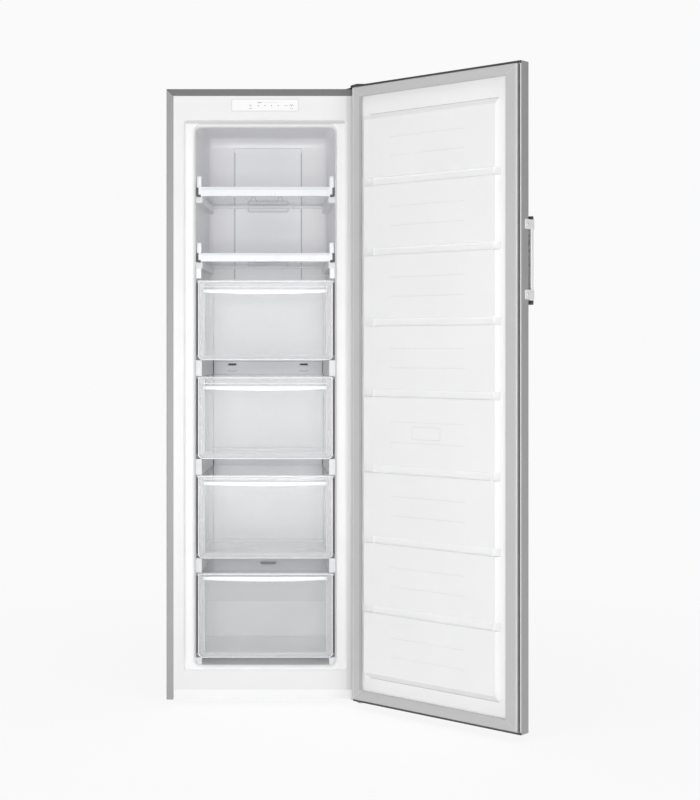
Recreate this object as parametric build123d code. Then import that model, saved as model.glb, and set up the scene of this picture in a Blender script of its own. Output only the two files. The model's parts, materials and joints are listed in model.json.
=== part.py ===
from build123d import *
import math
import os

os.makedirs("parts", exist_ok=True)

# An upright freezer with its door open. X runs across the front, Y from the front to the back
# and Z up. The pieces are made about the middle of the cabinet's front plane, on the floor, and
# the door is made shut and then swung open. Every piece is written about the middle of the
# footprint of the whole freezer, door open, on the floor. All sizes are in millimetres.

# --- cabinet ---
cabinet_width = 595.0
cabinet_top = 1855.0
cabinet_bottom = 16.0
cabinet_depth = 575.0
steel = 0.7  # coated sheet of the cabinet, its back and the door
bend_radius = 2.0  # outside, where a sheet is bent
front_flange = 21.0  # the wrap's return round the front
half_cabinet = cabinet_width / 2
foam_edge = half_cabinet - steel

# --- liner ---
liner_wall = 2.0
side_thickness = 86.5  # from the cabinet's side to the opening
head_thickness = 115.0  # from the cabinet's top to the opening
opening_width = cabinet_width - 2 * side_thickness
opening_bottom = 117.0
opening_top = cabinet_top - head_thickness
opening_radius = 16.0
room_height = opening_top - opening_bottom
ceiling_rise = 28.0  # from the opening to the back wall
ceiling_radius = 30.0  # where the ceiling turns down into the back wall
lip_radius = 13.0  # rounding where the front frame turns into the room
room_back = 440.0
room_narrowing = 30.0
room_back_width = opening_width - room_narrowing
recess_side = 33.5  # shallow step in the front frame, round the opening, that takes the door's pads
recess_below = 12.0
recess_above = 20.0
recess_width = opening_width + 2 * recess_side
recess_bottom = opening_bottom - recess_below
recess_top = opening_top + recess_above
recess_depth = 8.0
recess_radius = 8.0
hump_front = 335.0  # the room is shallower over the compressor
hump_shoulder = 255.0
hump_top = 322.0
niche_side = 22.0
niche_width = room_back_width - 2 * niche_side  # recess in the back wall for the evaporator
niche_bottom = 348.0
niche_top = opening_bottom + 0.719 * room_height
niche_back = 505.0
duct_side = 93.0
duct_width = room_back_width - 2 * duct_side  # air duct above it, with the fan
duct_drop = 24.0
duct_top = opening_top - duct_drop
duct_back = 492.0

# --- things that slide in the room ---
side_gap = 3.5  # between a drawer or shelf and the liner's wall
slide_gap = 0.3  # under a drawer or shelf, above its rail
rail_reach = 17.0  # how far the liner's rails stand in from the wall
rail_front = 24.0
rail_back = 405.0
rail_slack = 1.0  # from a drawer's top up to the next rail
front_setback = 20.0  # drawer and shelf fronts, behind the cabinet's front plane
rear_gap = 3.0  # behind a drawer or shelf

# Heights as shares of the room's height, from the top drawer down.
drawer_bottoms = [opening_bottom + share * room_height for share in (0.5675, 0.3832, 0.1978, 0.0130)]
drawer_tops = [opening_bottom + share * room_height for share in (0.7166, 0.5373, 0.3530, 0.1707)]
drawer_wall = 2.6
drawer_radius = 15.0
grip_drops = (36.0, 37.0, 27.0, 18.0)  # from each drawer's top edge down to its grip
grip_reach = 9.0
grip_height = 7.0
grip_bow = 6.0
grip_side = 31.0
grip_width = opening_width - 2 * grip_side
rim_height = 3.0
rim_reach = 2.0

shelf_bottoms = [opening_bottom + share * room_height for share in (0.8731, 0.7511)]
shelf_bar_heights = (29.0, 25.0)
shelf_cheek_heights = (61.0, 58.0)
shelf_bar_depth = 14.0
shelf_cheek_width = 12.5
shelf_bar_radius = 3.0
shelf_cheek_radius = 4.0
shelf_rim_height = 8.0
shelf_rim_width = 12.0
shelf_glass = 4.0
glass_seat = 5.0  # how far the glass reaches over the rim
glass_gap = 0.2
lug_height = 19.0
lug_reach = 19.0

# --- covers on the back wall ---
cover_wall = 2.0
cover_depth = 12.0
cover_margin = 5.0  # how far a cover reaches past the recess behind it
duct_cover_margin = 8.0
duct_cover_above = 17.0
duct_cover_top = duct_top + duct_cover_above
duct_cover_half = duct_width / 2 + duct_cover_margin
cover_edge_radius = 3.0
vent_width = 131.0  # long round-ended vents, each with a baffle close behind
vent_height = 11.0
vent_heights = ((0, -4.3), (0, 19.0), (1, 15.0))  # the shelf, and how far above its bottom
vent_levels = [shelf_bottoms[number] + height for number, height in vent_heights]
vent_offset = 2.5
baffle_wall = 1.5
baffle_margin = 6.0
outlet_offset = 118.0
outlet_width = 29.0
outlet_height = 7.0
outlet_drop = 17.5
outlet_z = drawer_bottoms[0] - outlet_drop
return_width = 52.0
return_height = 9.0
return_rise = 18.0
return_z = niche_bottom + return_rise

# --- evaporator, heater and fan ---
fin_count = 7
fin_margin = 48.0  # from the recess's side to the first fin, which leaves room for the pipe's bends
fin_pitch = (niche_width - 2 * fin_margin) / (fin_count - 1)
fin_thickness = 0.8
fin_bottom = 700.0
fin_height = 190.0
pass_pitch = 60.0
pass_count = 3
pipe_radius = 4.0
heater_z = 664.0
heater_margin = 24.0
heater_clip = 14.0
heater_clip_width = 8.0
fan_z = opening_bottom + 0.809 * room_height
fan_radius = 50.0
fan_hub_radius = 14.0
fan_blades = 5
fan_pitch = 32.0
fan_depth = 15.0
fan_shaft_radius = 2.0
fan_setback = 2.0  # between the wheel and its motor
fan_blade_chord = 26.0
fan_blade_thickness = 1.6
motor_depth = 20.0
motor_arm_reach = 60.0
motor_arm_thickness = 5.0
motor_arm_height = 14.0
running_gap = 0.05  # radial, round every turning shaft
motor_radius = 21.0

# --- controls ---
fascia_left = -102.0
fascia_right = 100.0
fascia_drop = 30.0
fascia_height = 37.0
fascia_top = cabinet_top - fascia_drop
fascia_bottom = fascia_top - fascia_height
fascia_thickness = 3.0
fascia_gap = 0.2
fascia_radius = 2.0
fascia_post_inset = 8.0
fascia_post_radius = 3.0
button_x = -44.6
button_drop = 20.0
button_z = fascia_top - button_drop
button_radius = 3.5
button_travel = 0.8
button_rest = 0.2  # how far it still stands out when pressed
button_collar = 1.5
button_collar_height = 2.0
light_first_x = -21.0
light_pitch = 20.0
light_count = 4
light_radius = 1.5
board_thickness = 1.6
board_setback = 14.0
board_inset_x = 3.0
board_inset_z = 4.0

# --- base ---
floor_plate = 1.0
base_top = 45.0
rail_width = 40.0
rail_inset = 22.0  # from the cabinet's side
rail_wall = 2.0
rail_bottom = 10.0
beam_front = 22.0
beam_depth = 40.0
beam_bottom = cabinet_bottom
plinth_top = 46.0
plinth_bottom = 18.0
plinth_wall = 2.5
foot_y = 95.0
foot_radius = 18.0
foot_height = 8.0
foot_shank_radius = 5.0
boss_radius = 10.0
boss_height = 10.0
roller_y = 520.0
roller_radius = 20.0
roller_width = 22.0
roller_edge = 2.0
axle_radius = 3.0
axle_stand = 3.0  # how far an axle stands out of its channel
foot_edge = 2.5
foot_nut = 9.0
foot_nut_height = 5.0
foot_top_gap = 0.5
frame_back_gap = 12.0
frame_side_gap = 1.0
machine_front = 396.0
machine_top = 240.0

# --- cooling machine ---
compressor_x = 120.0
compressor_y = 486.0
compressor_radius = 74.0
compressor_bottom = 60.0
compressor_height = 148.0
tray_plate = 2.0
tray_margin = 4.0
grommet_radius = 9.0
grommet_offset_x = 78.0
grommet_offset_y = 58.0
drip_tray_height = 22.0
drip_tray_wall = 2.0
drain_radius = 8.0
drain_bore = 6.0
drain_x = 60.0
drain_y = 470.0
drain_drop = 14.0  # how far the tube comes down into the machine space
drip_tray_margin = 20.0  # past the drain tube and past the compressor's middle on the far side
drip_tray_reach = 70.0
drip_tray_front = 6.0
drip_tray_back = 14.0
drip_tray_radius = 10.0
seam_share = 0.55  # of the compressor's height
seam_reach = 3.0
seam_height = 5.0
pot_dome = 30.0
pot_bowl = 22.0
pot_edge = 0.29  # how far in the middle of each rounding stands, as a share of it
ear_plate = 3.0
ear_reach = 12.0
relay_depth = 46.0
relay_sink = 8.0  # how far it lies over the pot's round side
relay_width = 48.0
relay_bottom = 82.0
relay_top = 138.0
tube_radius = 3.0
tube_bend = 14.0
tube_runs = ((112.0, 226.0), (156.0, 244.0))  # height, X of its outer leg
gland_x = -200.0
gland_z = 190.0
gland_collar = 11.0
gland_neck = 7.0
gland_bore = 4.0
gland_lip = 3.0
gland_length = 16.0

# --- door, as it stands when shut ---
door_front = -50.0
door_back = -10.0  # the plane that the gasket and the pads stand on
door_bottom = cabinet_bottom + 5.0
door_top = cabinet_top + 3.5
door_corner = 4.0
cap_height = 8.0
cap_gap = 0.1
liner_margin = 0.2
gasket_face = -1.1
gasket_hinge_margin = 3.5
gasket_free_margin = 7.0
gasket_end_margin = 8.0
gasket_hinge_width = 33.0
gasket_free_width = 38.0
gasket_end_width = 30.0
gasket_foot = 12.0
gasket_step = 3.0
gasket_waist = 3.0
gasket_magnet = 1.2
pad_free_inset = 59.5
pad_hinge_inset = 54.0
pad_free_side = half_cabinet - pad_free_inset
pad_hinge_side = half_cabinet - pad_hinge_inset
pad_below = 3.0  # past the recess in the cabinet's frame, before the slope
pad_above = 4.0
pad_bottom = recess_bottom - pad_below
pad_top = recess_top + pad_above
pad_field = pad_top - pad_bottom
pad_height = 15.0
pad_slope = 46.0  # degrees from upright
pad_radius = 12.0
pad_corner = 6.0  # of each pad, on the hinge side
groove_shares = (0.8791, 0.7554, 0.6306, 0.5060, 0.3721, 0.2473, 0.1237)
groove_centres = [pad_bottom + share * pad_field for share in groove_shares]
groove_height = 24.0
groove_floor = 6.0  # above the door's back plane
groove_inset = 32.0  # from a pad's side to where the groove's floor steps
groove_radius = 5.0
groove_notch = 4.0  # a step at each end of the groove's floor
groove_notch_rise = 2.0
groove_end_floor = 2.5

# --- handle ---
handle_top = 1437.0
handle_bottom = 1194.0
bar_width = 14.0
bar_depth = 9.0
handle_reach = 22.0  # from the door's front to the bar's
bracket_centres = (1414.5, 1221.5)
bracket_height = 26.5
bracket_plate = 3.0
bracket_wrap = 19.0
bracket_width = 17.5
bracket_nose = 1.0  # in front of the bar
bracket_radius = 2.5
bracket_gap = 0.2
bar_radius = 3.5
bar_end_edge = 1.2
screw_radius = 3.4
screw_shank = 2.0
screw_length = 14.0
screw_head = 1.6
screw_head_edge = 0.8

# --- hinges ---
pivot_inset = 12.0
pivot_forward = 31.0
opening_angle = 138.0
pin_radius = 4.0
pin_reach = 16.0  # into the door
bush_radius = 6.5
bush_gap = 0.2
bush_flange = 8.0
bush_end = 3.0  # closed end beyond the pin
hinge_plate = 3.0
hinge_width = 38.0
upper_hinge_width = 28.0
hinge_back = 52.0
hinge_rise_y = 6.0  # where the plate steps up to pass over the door
hinge_over_door = 0.7
hinge_nose = 10.0
hinge_edge = 4.0  # the plate's nose inside the cover's
hinge_start = 2.0
cap_wall = 1.5
cap_top_gap = 0.3  # above the hinge's plate
cap_left = 54.5  # its low end, from the cabinet's side
cap_level = 23.5  # where its level top starts
cap_right = 1.5
cap_front = 8.0  # in front of the pivot
cap_back = 60.0
cap_corner = 3.0
bolt_radius = 2.5
bolt_head = 5.0
bolt_head_height = 3.5
bolt_depth = 12.0
upper_bolts = ((-8.0, 17.0), (0.0, 30.0), (-8.0, 43.0))  # X from the pivot, and Y
lower_bolt_offsets = (-18.0, -4.0)
lower_bolt_stand = 4.0
pivot_x = half_cabinet - pivot_inset
pivot_y = -pivot_forward


# ---------------------------------------------------------------- plain forms
def block(x0, x1, y0, y1, z0, z1):
    middle = Pos((x0 + x1) / 2, (y0 + y1) / 2, (z0 + z1) / 2)
    return middle * Box(x1 - x0, y1 - y0, z1 - z0)


def plan_prism(points, z0, z1):
    """A prism standing on an outline given as X and Y."""
    outline = make_face(Polyline(*points, close=True))
    return Pos(0, 0, z0) * extrude(outline, z1 - z0)


def side_prism(points, x0, x1):
    """A prism lying along X, with an outline given as Y and Z."""
    outline = make_face(Polyline(*points, close=True))
    return Pos(x0, 0, 0) * extrude(Plane.YZ * outline, x1 - x0)


def rod(start, direction, radius, length):
    upright = Cylinder(radius, length, align=(Align.CENTER, Align.CENTER, Align.MIN))
    return Plane(origin=start, z_dir=direction) * upright


def both_sides(shape):
    return shape + mirror(shape, about=Plane.YZ)


def rounded_plate(x0, x1, z0, z1, y0, y1, radius):
    """An upright plate with round corners, facing the front."""
    outline = RectangleRounded(x1 - x0, z1 - z0, radius)
    plate = extrude(Plane.XZ * outline, y1 - y0)
    return Pos((x0 + x1) / 2, y1, (z0 + z1) / 2) * plate


# ---------------------------------------------------------------- the room inside the liner
def wall_at(y):
    """Half the room's width, which narrows a little towards the back."""
    taper = (opening_width - room_back_width) / 2 / room_back
    return opening_width / 2 - taper * y


def between_walls(inset, y0, y1, z0, z1):
    """A body that follows the room's tapering walls at one distance."""
    near = wall_at(y0) - inset
    far = wall_at(y1) - inset
    return plan_prism([(-near, y0), (near, y0), (far, y1), (-far, y1)], z0, z1)


def wall_rail(reach, y0, y1, z0, z1, grow):
    """A rail on each wall that stands in by its reach. It shrinks as the room grows."""
    start = y0 + grow
    end = y1 - grow
    beyond = 3 * liner_wall
    points = [
        (wall_at(start) - reach + grow, start),
        (wall_at(start) + beyond, start),
        (wall_at(end) + beyond, end),
        (wall_at(end) - reach + grow, end),
    ]
    return both_sides(plan_prism(points, z0 + grow, z1 - grow))


def hump(grow):
    """The sloping step over the compressor, set back as the room grows."""
    depth = cabinet_depth
    rise = (hump_top - hump_shoulder) * (depth - hump_front) / (room_back - hump_front)
    points = [
        (hump_front, 0),
        (hump_front, hump_shoulder),
        (depth, hump_shoulder + rise),
        (depth, 0),
    ]
    outline = make_face(Polyline(*points, close=True))
    if grow > 0:
        outline = offset(outline, -grow, kind=Kind.INTERSECTION)
    body = extrude(Plane.YZ * outline, cabinet_width)
    return Pos(-half_cabinet, 0, 0) * body


def rail_heights():
    """Bottom and top of the rail under each drawer."""
    lower = [top + rail_slack for top in drawer_tops[1:]] + [opening_bottom]
    upper = [bottom - slide_gap for bottom in drawer_bottoms]
    return list(zip(lower, upper))


def room(grow):
    """The space inside the liner, grown outwards by the given wall."""
    half = wall_at(0) + grow
    far = wall_at(room_back) + grow
    low = opening_bottom - grow
    high = opening_top + grow
    back = room_back + grow
    rear = high + ceiling_rise
    plan = plan_prism([(-half, 0), (half, 0), (far, back), (-far, back)], low, rear)
    side_view = side_prism([(0, low), (back, low), (back, rear), (0, high)], -half, half)
    space = plan & side_view
    top_back = space.faces().sort_by(Axis.Y)[-1].edges().sort_by(Axis.Z)[-1]
    space = fillet(top_back, ceiling_radius + grow)
    corners = [
        edge
        for edge in space.edges()
        if edge.geom_type != GeomType.LINE
        or abs(edge.tangent_at(0.5).Y) > 0.9
        or (abs(edge.tangent_at(0.5).Z) > 0.9 and edge.center().Y > back / 2)
    ]
    space = fillet(corners, opening_radius + grow)
    reach = recess_width / 2 + grow
    step = rounded_plate(
        -reach,
        reach,
        recess_bottom - grow,
        recess_top + grow,
        -grow,
        recess_depth + grow,
        recess_radius + grow,
    )
    space = space + step
    near = opening_width / 2 + 2 * grow + 1
    lip = [
        edge
        for edge in space.edges()
        if abs(edge.center().Y - recess_depth - grow) < 0.01
        and abs(edge.center().X) < near
        and low - 1 < edge.center().Z < high + 1
    ]
    space = fillet(lip, lip_radius - grow)
    side = niche_width / 2 + grow
    rim = back - 2 * grow
    space += block(-side, side, rim, niche_back + grow, niche_bottom - grow, niche_top + grow)
    side = duct_width / 2 + grow
    space += block(-side, side, rim, duct_back + grow, niche_top, duct_top + grow)
    space -= hump(grow)
    for z0, z1 in rail_heights():
        space -= wall_rail(rail_reach, rail_front, rail_back, z0, z1, grow)
    for bottom in shelf_bottoms:
        z1 = bottom - slide_gap
        space -= wall_rail(lug_reach, rail_front, rail_back, z1 - lug_height, z1, grow)
    return space


def fascia_window(gap):
    return rounded_plate(
        fascia_left - gap,
        fascia_right + gap,
        fascia_bottom - gap,
        fascia_top + gap,
        -1,
        board_setback + board_thickness,
        fascia_radius,
    )


def drain_hole(radius):
    return rod((drain_x, drain_y, machine_top - 4), (0, 0, 1), radius, niche_bottom - machine_top + 8)


def hinge_bolts(z0, z1):
    """The three shanks that hold the upper hinge."""
    return [rod((pivot_x + dx, y, z0), (0, 0, 1), bolt_radius, z1 - z0) for dx, y in upper_bolts]


# ---------------------------------------------------------------- cabinet
def front_bends(box):
    """The upper and side edges of a box's front face."""
    edges = box.faces().sort_by(Axis.Y)[0].edges().sort_by(Axis.Z)
    return edges[1:]


def cabinet_wrap():
    """One sheet bent over the sides and top, with a return round the front."""
    outside = block(-half_cabinet, half_cabinet, 0, cabinet_depth, cabinet_bottom, cabinet_top)
    outside = fillet(front_bends(outside), bend_radius)
    inside = block(-foam_edge, foam_edge, steel, cabinet_depth, 0, cabinet_top - steel)
    inside = fillet(front_bends(inside), bend_radius - steel)
    window = half_cabinet - front_flange
    wrap = outside - inside - block(-window, window, -1, 2, 0, cabinet_top - front_flange)
    for shank in hinge_bolts(cabinet_top - bolt_depth, cabinet_top + 1):
        wrap -= shank
    return wrap


def rear_panel():
    plate = block(
        -foam_edge,
        foam_edge,
        cabinet_depth - steel,
        cabinet_depth,
        machine_top,
        cabinet_top - steel,
    )
    return plate


def floor_sheet():
    """The folded sheet under the room and round the front of the machine space."""
    back = cabinet_depth - steel
    under = block(-foam_edge, foam_edge, beam_front, machine_front, base_top, base_top + floor_plate)
    riser_front = machine_front - floor_plate
    riser = block(-foam_edge, foam_edge, riser_front, machine_front, base_top, machine_top)
    ceiling_bottom = machine_top - floor_plate
    ceiling = block(-foam_edge, foam_edge, riser_front, back, ceiling_bottom, machine_top)
    return under + riser + ceiling - drain_hole(drain_radius)


def insulation_foam(grown_room):
    foam = block(
        -foam_edge,
        foam_edge,
        steel,
        cabinet_depth - steel,
        base_top + floor_plate,
        cabinet_top - steel,
    )
    foam = fillet(front_bends(foam), bend_radius - steel)
    foam -= block(
        -foam_edge,
        foam_edge,
        machine_front - floor_plate,
        cabinet_depth,
        base_top,
        machine_top,
    )
    window = half_cabinet - front_flange
    foam -= block(-window, window, 0, liner_wall, base_top, cabinet_top - front_flange)
    foam -= grown_room
    foam -= fascia_window(fascia_gap)
    foam -= drain_hole(drain_radius)
    for shank in hinge_bolts(cabinet_top - bolt_depth, cabinet_top + 1):
        foam -= shank
    return foam


def inner_liner(grown_room, inner_room):
    """The formed plastic skin: front frame, walls, rails and the recesses in the back wall."""
    window = half_cabinet - front_flange
    frame = block(-window, window, 0, liner_wall, plinth_top, cabinet_top - front_flange)
    shell = grown_room & block(-window, window, 0, cabinet_depth, 0, cabinet_top)
    return frame + shell - inner_room - fascia_window(fascia_gap) - drain_hole(drain_radius)


def control_fascia():
    face = rounded_plate(
        fascia_left,
        fascia_right,
        fascia_bottom,
        fascia_top,
        0,
        fascia_thickness,
        fascia_radius,
    )
    hole = button_radius + 2 * running_gap
    face -= rod((button_x, -1, button_z), (0, 1, 0), hole, 2 * fascia_thickness)
    for number in range(light_count):
        x = light_first_x + number * light_pitch
        face -= rod((x, -1, button_z), (0, 1, 0), light_radius, 2 * fascia_thickness)
    length = board_setback - fascia_thickness
    posts = [
        rod((x, fascia_thickness, button_z), (0, 1, 0), fascia_post_radius, length)
        for x in (fascia_left + fascia_post_inset, fascia_right - fascia_post_inset)
    ]
    return face + posts


def control_board():
    return block(
        fascia_left + board_inset_x,
        fascia_right - board_inset_x,
        board_setback,
        board_setback + board_thickness,
        fascia_bottom + board_inset_z,
        fascia_top - board_inset_z,
    )


def indicator_lights():
    lenses = [
        rod((light_first_x + n * light_pitch, 0, button_z), (0, 1, 0), light_radius, board_setback)
        for n in range(light_count)
    ]
    return Compound(lenses)


def control_button():
    """A small round push button with a collar behind the fascia."""
    proud = button_travel + button_rest
    reach = board_setback - button_travel - slide_gap
    stem = rod((button_x, -proud, button_z), (0, 1, 0), button_radius, reach + proud)
    collar = (button_x, fascia_thickness + slide_gap, button_z)
    return stem + rod(collar, (0, 1, 0), button_radius + button_collar, button_collar_height)


def plinth():
    edge = half_cabinet - front_flange - slide_gap
    face = block(-edge, edge, 0, plinth_wall, plinth_bottom, plinth_top)
    shelf = block(-edge, edge, 0, beam_front, plinth_top - plinth_wall, plinth_top)
    lower = block(-edge, edge, 0, beam_front, plinth_bottom, plinth_bottom + plinth_wall)
    return face + shelf + lower


# ---------------------------------------------------------------- back wall covers and cooling
def boxed_cover(half_width, z0, z1):
    """A shallow cover with turned-in sides, standing on the back wall."""
    front = room_back - cover_depth
    shell = block(-half_width, half_width, front, room_back, z0, z1)
    shell = fillet(shell.edges().group_by(Axis.Y)[0], cover_edge_radius)
    hollow = block(
        -half_width + cover_wall,
        half_width - cover_wall,
        front + cover_wall,
        room_back,
        z0 + cover_wall,
        z1 - cover_wall,
    )
    return shell - hollow


def slot(x, z, width, height):
    """A round-ended slot through a cover."""
    bar = extrude(Plane.XZ * SlotOverall(width, height), 3 * cover_depth)
    return Pos(x, room_back + cover_depth, z) * bar


def duct_cover():
    """The upper cover: long vents with a baffle close behind each."""
    cover = boxed_cover(duct_cover_half, niche_top + cover_margin, duct_cover_top)
    half = vent_width / 2 + baffle_margin
    rise = vent_height / 2 + baffle_margin
    start = room_back - cover_depth + cover_wall
    for z in vent_levels:
        cover -= slot(0, z, vent_width, vent_height)
        baffle_y = start + vent_offset
        cover += block(-half, half, baffle_y, baffle_y + baffle_wall, z - rise, z + rise)
        for x in (-half, half - baffle_wall):
            cover += block(x, x + baffle_wall, start, baffle_y, z - rise, z + rise)
    return cover


def evaporator_cover():
    bottom = niche_bottom - 2 * cover_margin
    top = niche_top + cover_margin - slide_gap
    cover = boxed_cover(niche_width / 2 + cover_margin, bottom, top)
    for x in (-outlet_offset, outlet_offset):
        cover -= slot(x, outlet_z, outlet_width, outlet_height)
    return cover - slot(0, return_z, return_width, return_height)


def coil_levels():
    middle = fin_bottom + fin_height / 2
    first = middle - pass_pitch * (pass_count - 1) / 2
    return [first + pass_pitch * n for n in range(pass_count)]


def coil_y():
    return (room_back + niche_back) / 2


def evaporator_fins():
    half_run = fin_pitch * (fin_count - 1) / 2
    fins = []
    for number in range(fin_count):
        x = number * fin_pitch - half_run
        fin = block(
            x - fin_thickness / 2,
            x + fin_thickness / 2,
            room_back + cover_margin,
            niche_back,
            fin_bottom,
            fin_bottom + fin_height,
        )
        for z in coil_levels():
            fin -= rod((x - fin_pitch / 4, coil_y(), z), (1, 0, 0), pipe_radius, fin_pitch / 2)
        fins.append(fin)
    return Compound(fins)


def evaporator_coil():
    """One pipe that runs to and fro through the fins."""
    end = fin_pitch * (fin_count - 1) / 2 + 3 * pipe_radius
    y = coil_y()
    levels = coil_levels()
    pieces = []
    side = 1
    for number, z in enumerate(levels):
        pieces.append(Line((-side * end, y, z), (side * end, y, z)))
        if number < pass_count - 1:
            higher = levels[number + 1]
            outermost = (side * (end + pass_pitch / 2), y, (z + higher) / 2)
            pieces.append(ThreePointArc((side * end, y, z), outermost, (side * end, y, higher)))
        side = -side
    path = Wire(pieces)
    section = Plane(origin=path @ 0, z_dir=path % 0) * Circle(pipe_radius)
    return sweep(section, path=path)


def defrost_heater():
    half = niche_width / 2 - heater_margin
    y = coil_y()
    tube = rod((-half, y, heater_z), (1, 0, 0), pipe_radius, 2 * half)
    side = heater_clip / 2
    inner = half - 2 * heater_clip_width
    outer = half - heater_clip_width
    clip = block(inner, outer, y - side, niche_back, heater_z - side, heater_z + side)
    return tube + both_sides(clip)


def fan_motor():
    front = duct_back - motor_depth
    half = motor_arm_height / 2
    body = rod((0, front, fan_z), (0, 1, 0), motor_radius, motor_depth)
    length = fan_depth + 2 * fan_setback
    shaft = rod((0, front - length, fan_z), (0, 1, 0), fan_shaft_radius, length + 1)
    arms = block(
        -motor_arm_reach,
        motor_arm_reach,
        duct_back - motor_arm_thickness,
        duct_back,
        fan_z - half,
        fan_z + half,
    )
    return body + shaft + arms


def fan_wheel():
    back = duct_back - motor_depth - fan_setback
    wheel = rod((0, back - fan_depth, fan_z), (0, 1, 0), fan_hub_radius, fan_depth)
    start = fan_hub_radius - fan_setback
    length = fan_radius - start
    blade = Rot(0, 0, fan_pitch) * Box(fan_blade_chord, fan_blade_thickness, length)
    blade = Pos(0, 0, start + length / 2) * blade
    for number in range(fan_blades):
        turn = Rot(0, 360 / fan_blades * number, 0)
        wheel += Pos(0, back - fan_depth / 2, fan_z) * turn * blade
    return wheel - rod((0, 0, fan_z), (0, 1, 0), fan_shaft_radius + running_gap, cabinet_depth)


def drain_tube():
    bottom = machine_top - drain_drop
    length = niche_bottom - bottom
    outside = rod((drain_x, drain_y, bottom), (0, 0, 1), drain_radius, length)
    return outside - rod((drain_x, drain_y, bottom - 1), (0, 0, 1), drain_bore, length + 2)


# ---------------------------------------------------------------- machine space
def machine_tray():
    """The plate across the bottom of the machine space."""
    edge = foam_edge - tray_margin
    front = machine_front + tray_margin
    back = cabinet_depth - 2 * tray_margin
    return block(-edge, edge, front, back, base_top, base_top + tray_plate)


def grommet_places():
    return [
        (compressor_x + sx * grommet_offset_x, compressor_y + sy * grommet_offset_y)
        for sx in (-1, 1)
        for sy in (-1, 1)
    ]


def compressor():
    """A welded pot: two drawn shells with a seam flange, on a base plate with four ears."""
    radius = compressor_radius
    height = compressor_height
    seam = height * seam_share
    lip = radius + seam_reach
    bowl_in = pot_bowl * pot_edge
    dome_in = pot_dome * pot_edge
    outline = [
        (0, 0),
        (radius - pot_bowl, 0),
        (radius - bowl_in, bowl_in),
        (radius, pot_bowl),
        (radius, seam),
        (lip, seam),
        (lip, seam + seam_height),
        (radius, seam + seam_height),
        (radius, height - pot_dome),
        (radius - dome_in, height - dome_in),
        (radius - pot_dome, height),
        (0, height),
    ]
    profile = make_face(Polyline(*outline, close=True))
    pot = revolve(Plane.XZ * profile, Axis.Z)
    reach_x = grommet_offset_x + ear_reach
    reach_y = grommet_offset_y + ear_reach
    cut_x = grommet_offset_x - ear_reach
    cut_y = grommet_offset_y - ear_reach
    ears = block(-reach_x, reach_x, -reach_y, reach_y, 0, ear_plate)
    for y0, y1 in ((-reach_y - 1, -cut_y), (cut_y, reach_y + 1)):
        ears -= block(-cut_x, cut_x, y0, y1, -1, ear_plate + 1)
    return Pos(compressor_x, compressor_y, compressor_bottom) * (pot + ears)


def compressor_grommets():
    bottom = base_top + tray_plate
    height = compressor_bottom - bottom
    places = grommet_places()
    return Compound([rod((x, y, bottom), (0, 0, 1), grommet_radius, height) for x, y in places])


def relay_cover():
    """The boxed starting gear on the side of the compressor."""
    right = compressor_x - compressor_radius + relay_sink
    half = relay_width / 2
    middle = compressor_y
    box = block(right - relay_depth, right, middle - half, middle + half, relay_bottom, relay_top)
    box = fillet(box.edges().group_by(Axis.X)[0], 4.0)
    return box - rod((compressor_x, middle, 0), (0, 0, 1), compressor_radius, machine_top)


def refrigerant_pipes():
    """Suction and discharge pipes, from the compressor round to the front wall of the space."""
    pipes = []
    for z, leg_x in tube_runs:
        start = (compressor_x + compressor_radius, compressor_y, z)
        corner = (leg_x, compressor_y, z)
        route = FilletPolyline(start, corner, (leg_x, machine_front, z), radius=tube_bend)
        section = Plane(origin=route @ 0, z_dir=route % 0) * Circle(tube_radius)
        pipes.append(sweep(section, path=route))
    return Compound(pipes)


def drip_tray():
    """An open tray on top of the compressor, under the drain tube."""
    z0 = compressor_bottom + compressor_height
    x0 = drain_x - drip_tray_margin
    x1 = compressor_x + drip_tray_reach
    y0 = machine_front + drip_tray_front
    y1 = cabinet_depth - drip_tray_back
    wall = drip_tray_wall
    outside = block(x0, x1, y0, y1, z0, z0 + drip_tray_height)
    outside = fillet(outside.edges().filter_by(Axis.Z), drip_tray_radius)
    inside = block(x0 + wall, x1 - wall, y0 + wall, y1 - wall, z0 + wall, machine_top)
    inside = fillet(inside.edges().filter_by(Axis.Z), drip_tray_radius - wall)
    return outside - inside


# ---------------------------------------------------------------- base
def rail_x():
    return half_cabinet - rail_inset - rail_width / 2


def lower_bolts(z0, z1):
    """The two shanks that hold the lower hinge to the front beam."""
    y = beam_front + beam_depth / 2
    return [rod((pivot_x + dx, y, z0), (0, 0, 1), bolt_radius, z1 - z0) for dx in lower_bolt_offsets]


def base_frame():
    """A cross beam at the front and a channel down each side, open below."""
    side = rail_x()
    half = rail_width / 2
    front = beam_front + beam_depth
    back = cabinet_depth - frame_back_gap
    edge = foam_edge - frame_side_gap
    beam = block(-edge, edge, beam_front, front, beam_bottom, base_top)
    beam -= block(
        -half_cabinet,
        half_cabinet,
        beam_front + rail_wall,
        front - rail_wall,
        beam_bottom + rail_wall,
        base_top - rail_wall,
    )
    channel = block(side - half, side + half, front, back, rail_bottom, base_top)
    channel -= block(
        side - half + rail_wall,
        side + half - rail_wall,
        front + rail_wall,
        back + 1,
        rail_bottom - 1,
        base_top - rail_wall,
    )
    boss_bottom = base_top - rail_wall - boss_height
    channel += rod((side, foot_y, boss_bottom), (0, 0, 1), boss_radius, boss_height)
    channel -= rod((side, foot_y, 0), (0, 0, 1), foot_shank_radius + running_gap, base_top + 1)
    channel -= rod((side - rail_width, roller_y, roller_radius), (1, 0, 0), axle_radius, 2 * rail_width)
    for shank in lower_bolts(beam_bottom - 1, beam_bottom + rail_wall + 1):
        beam -= shank
    return beam + both_sides(channel)


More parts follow.
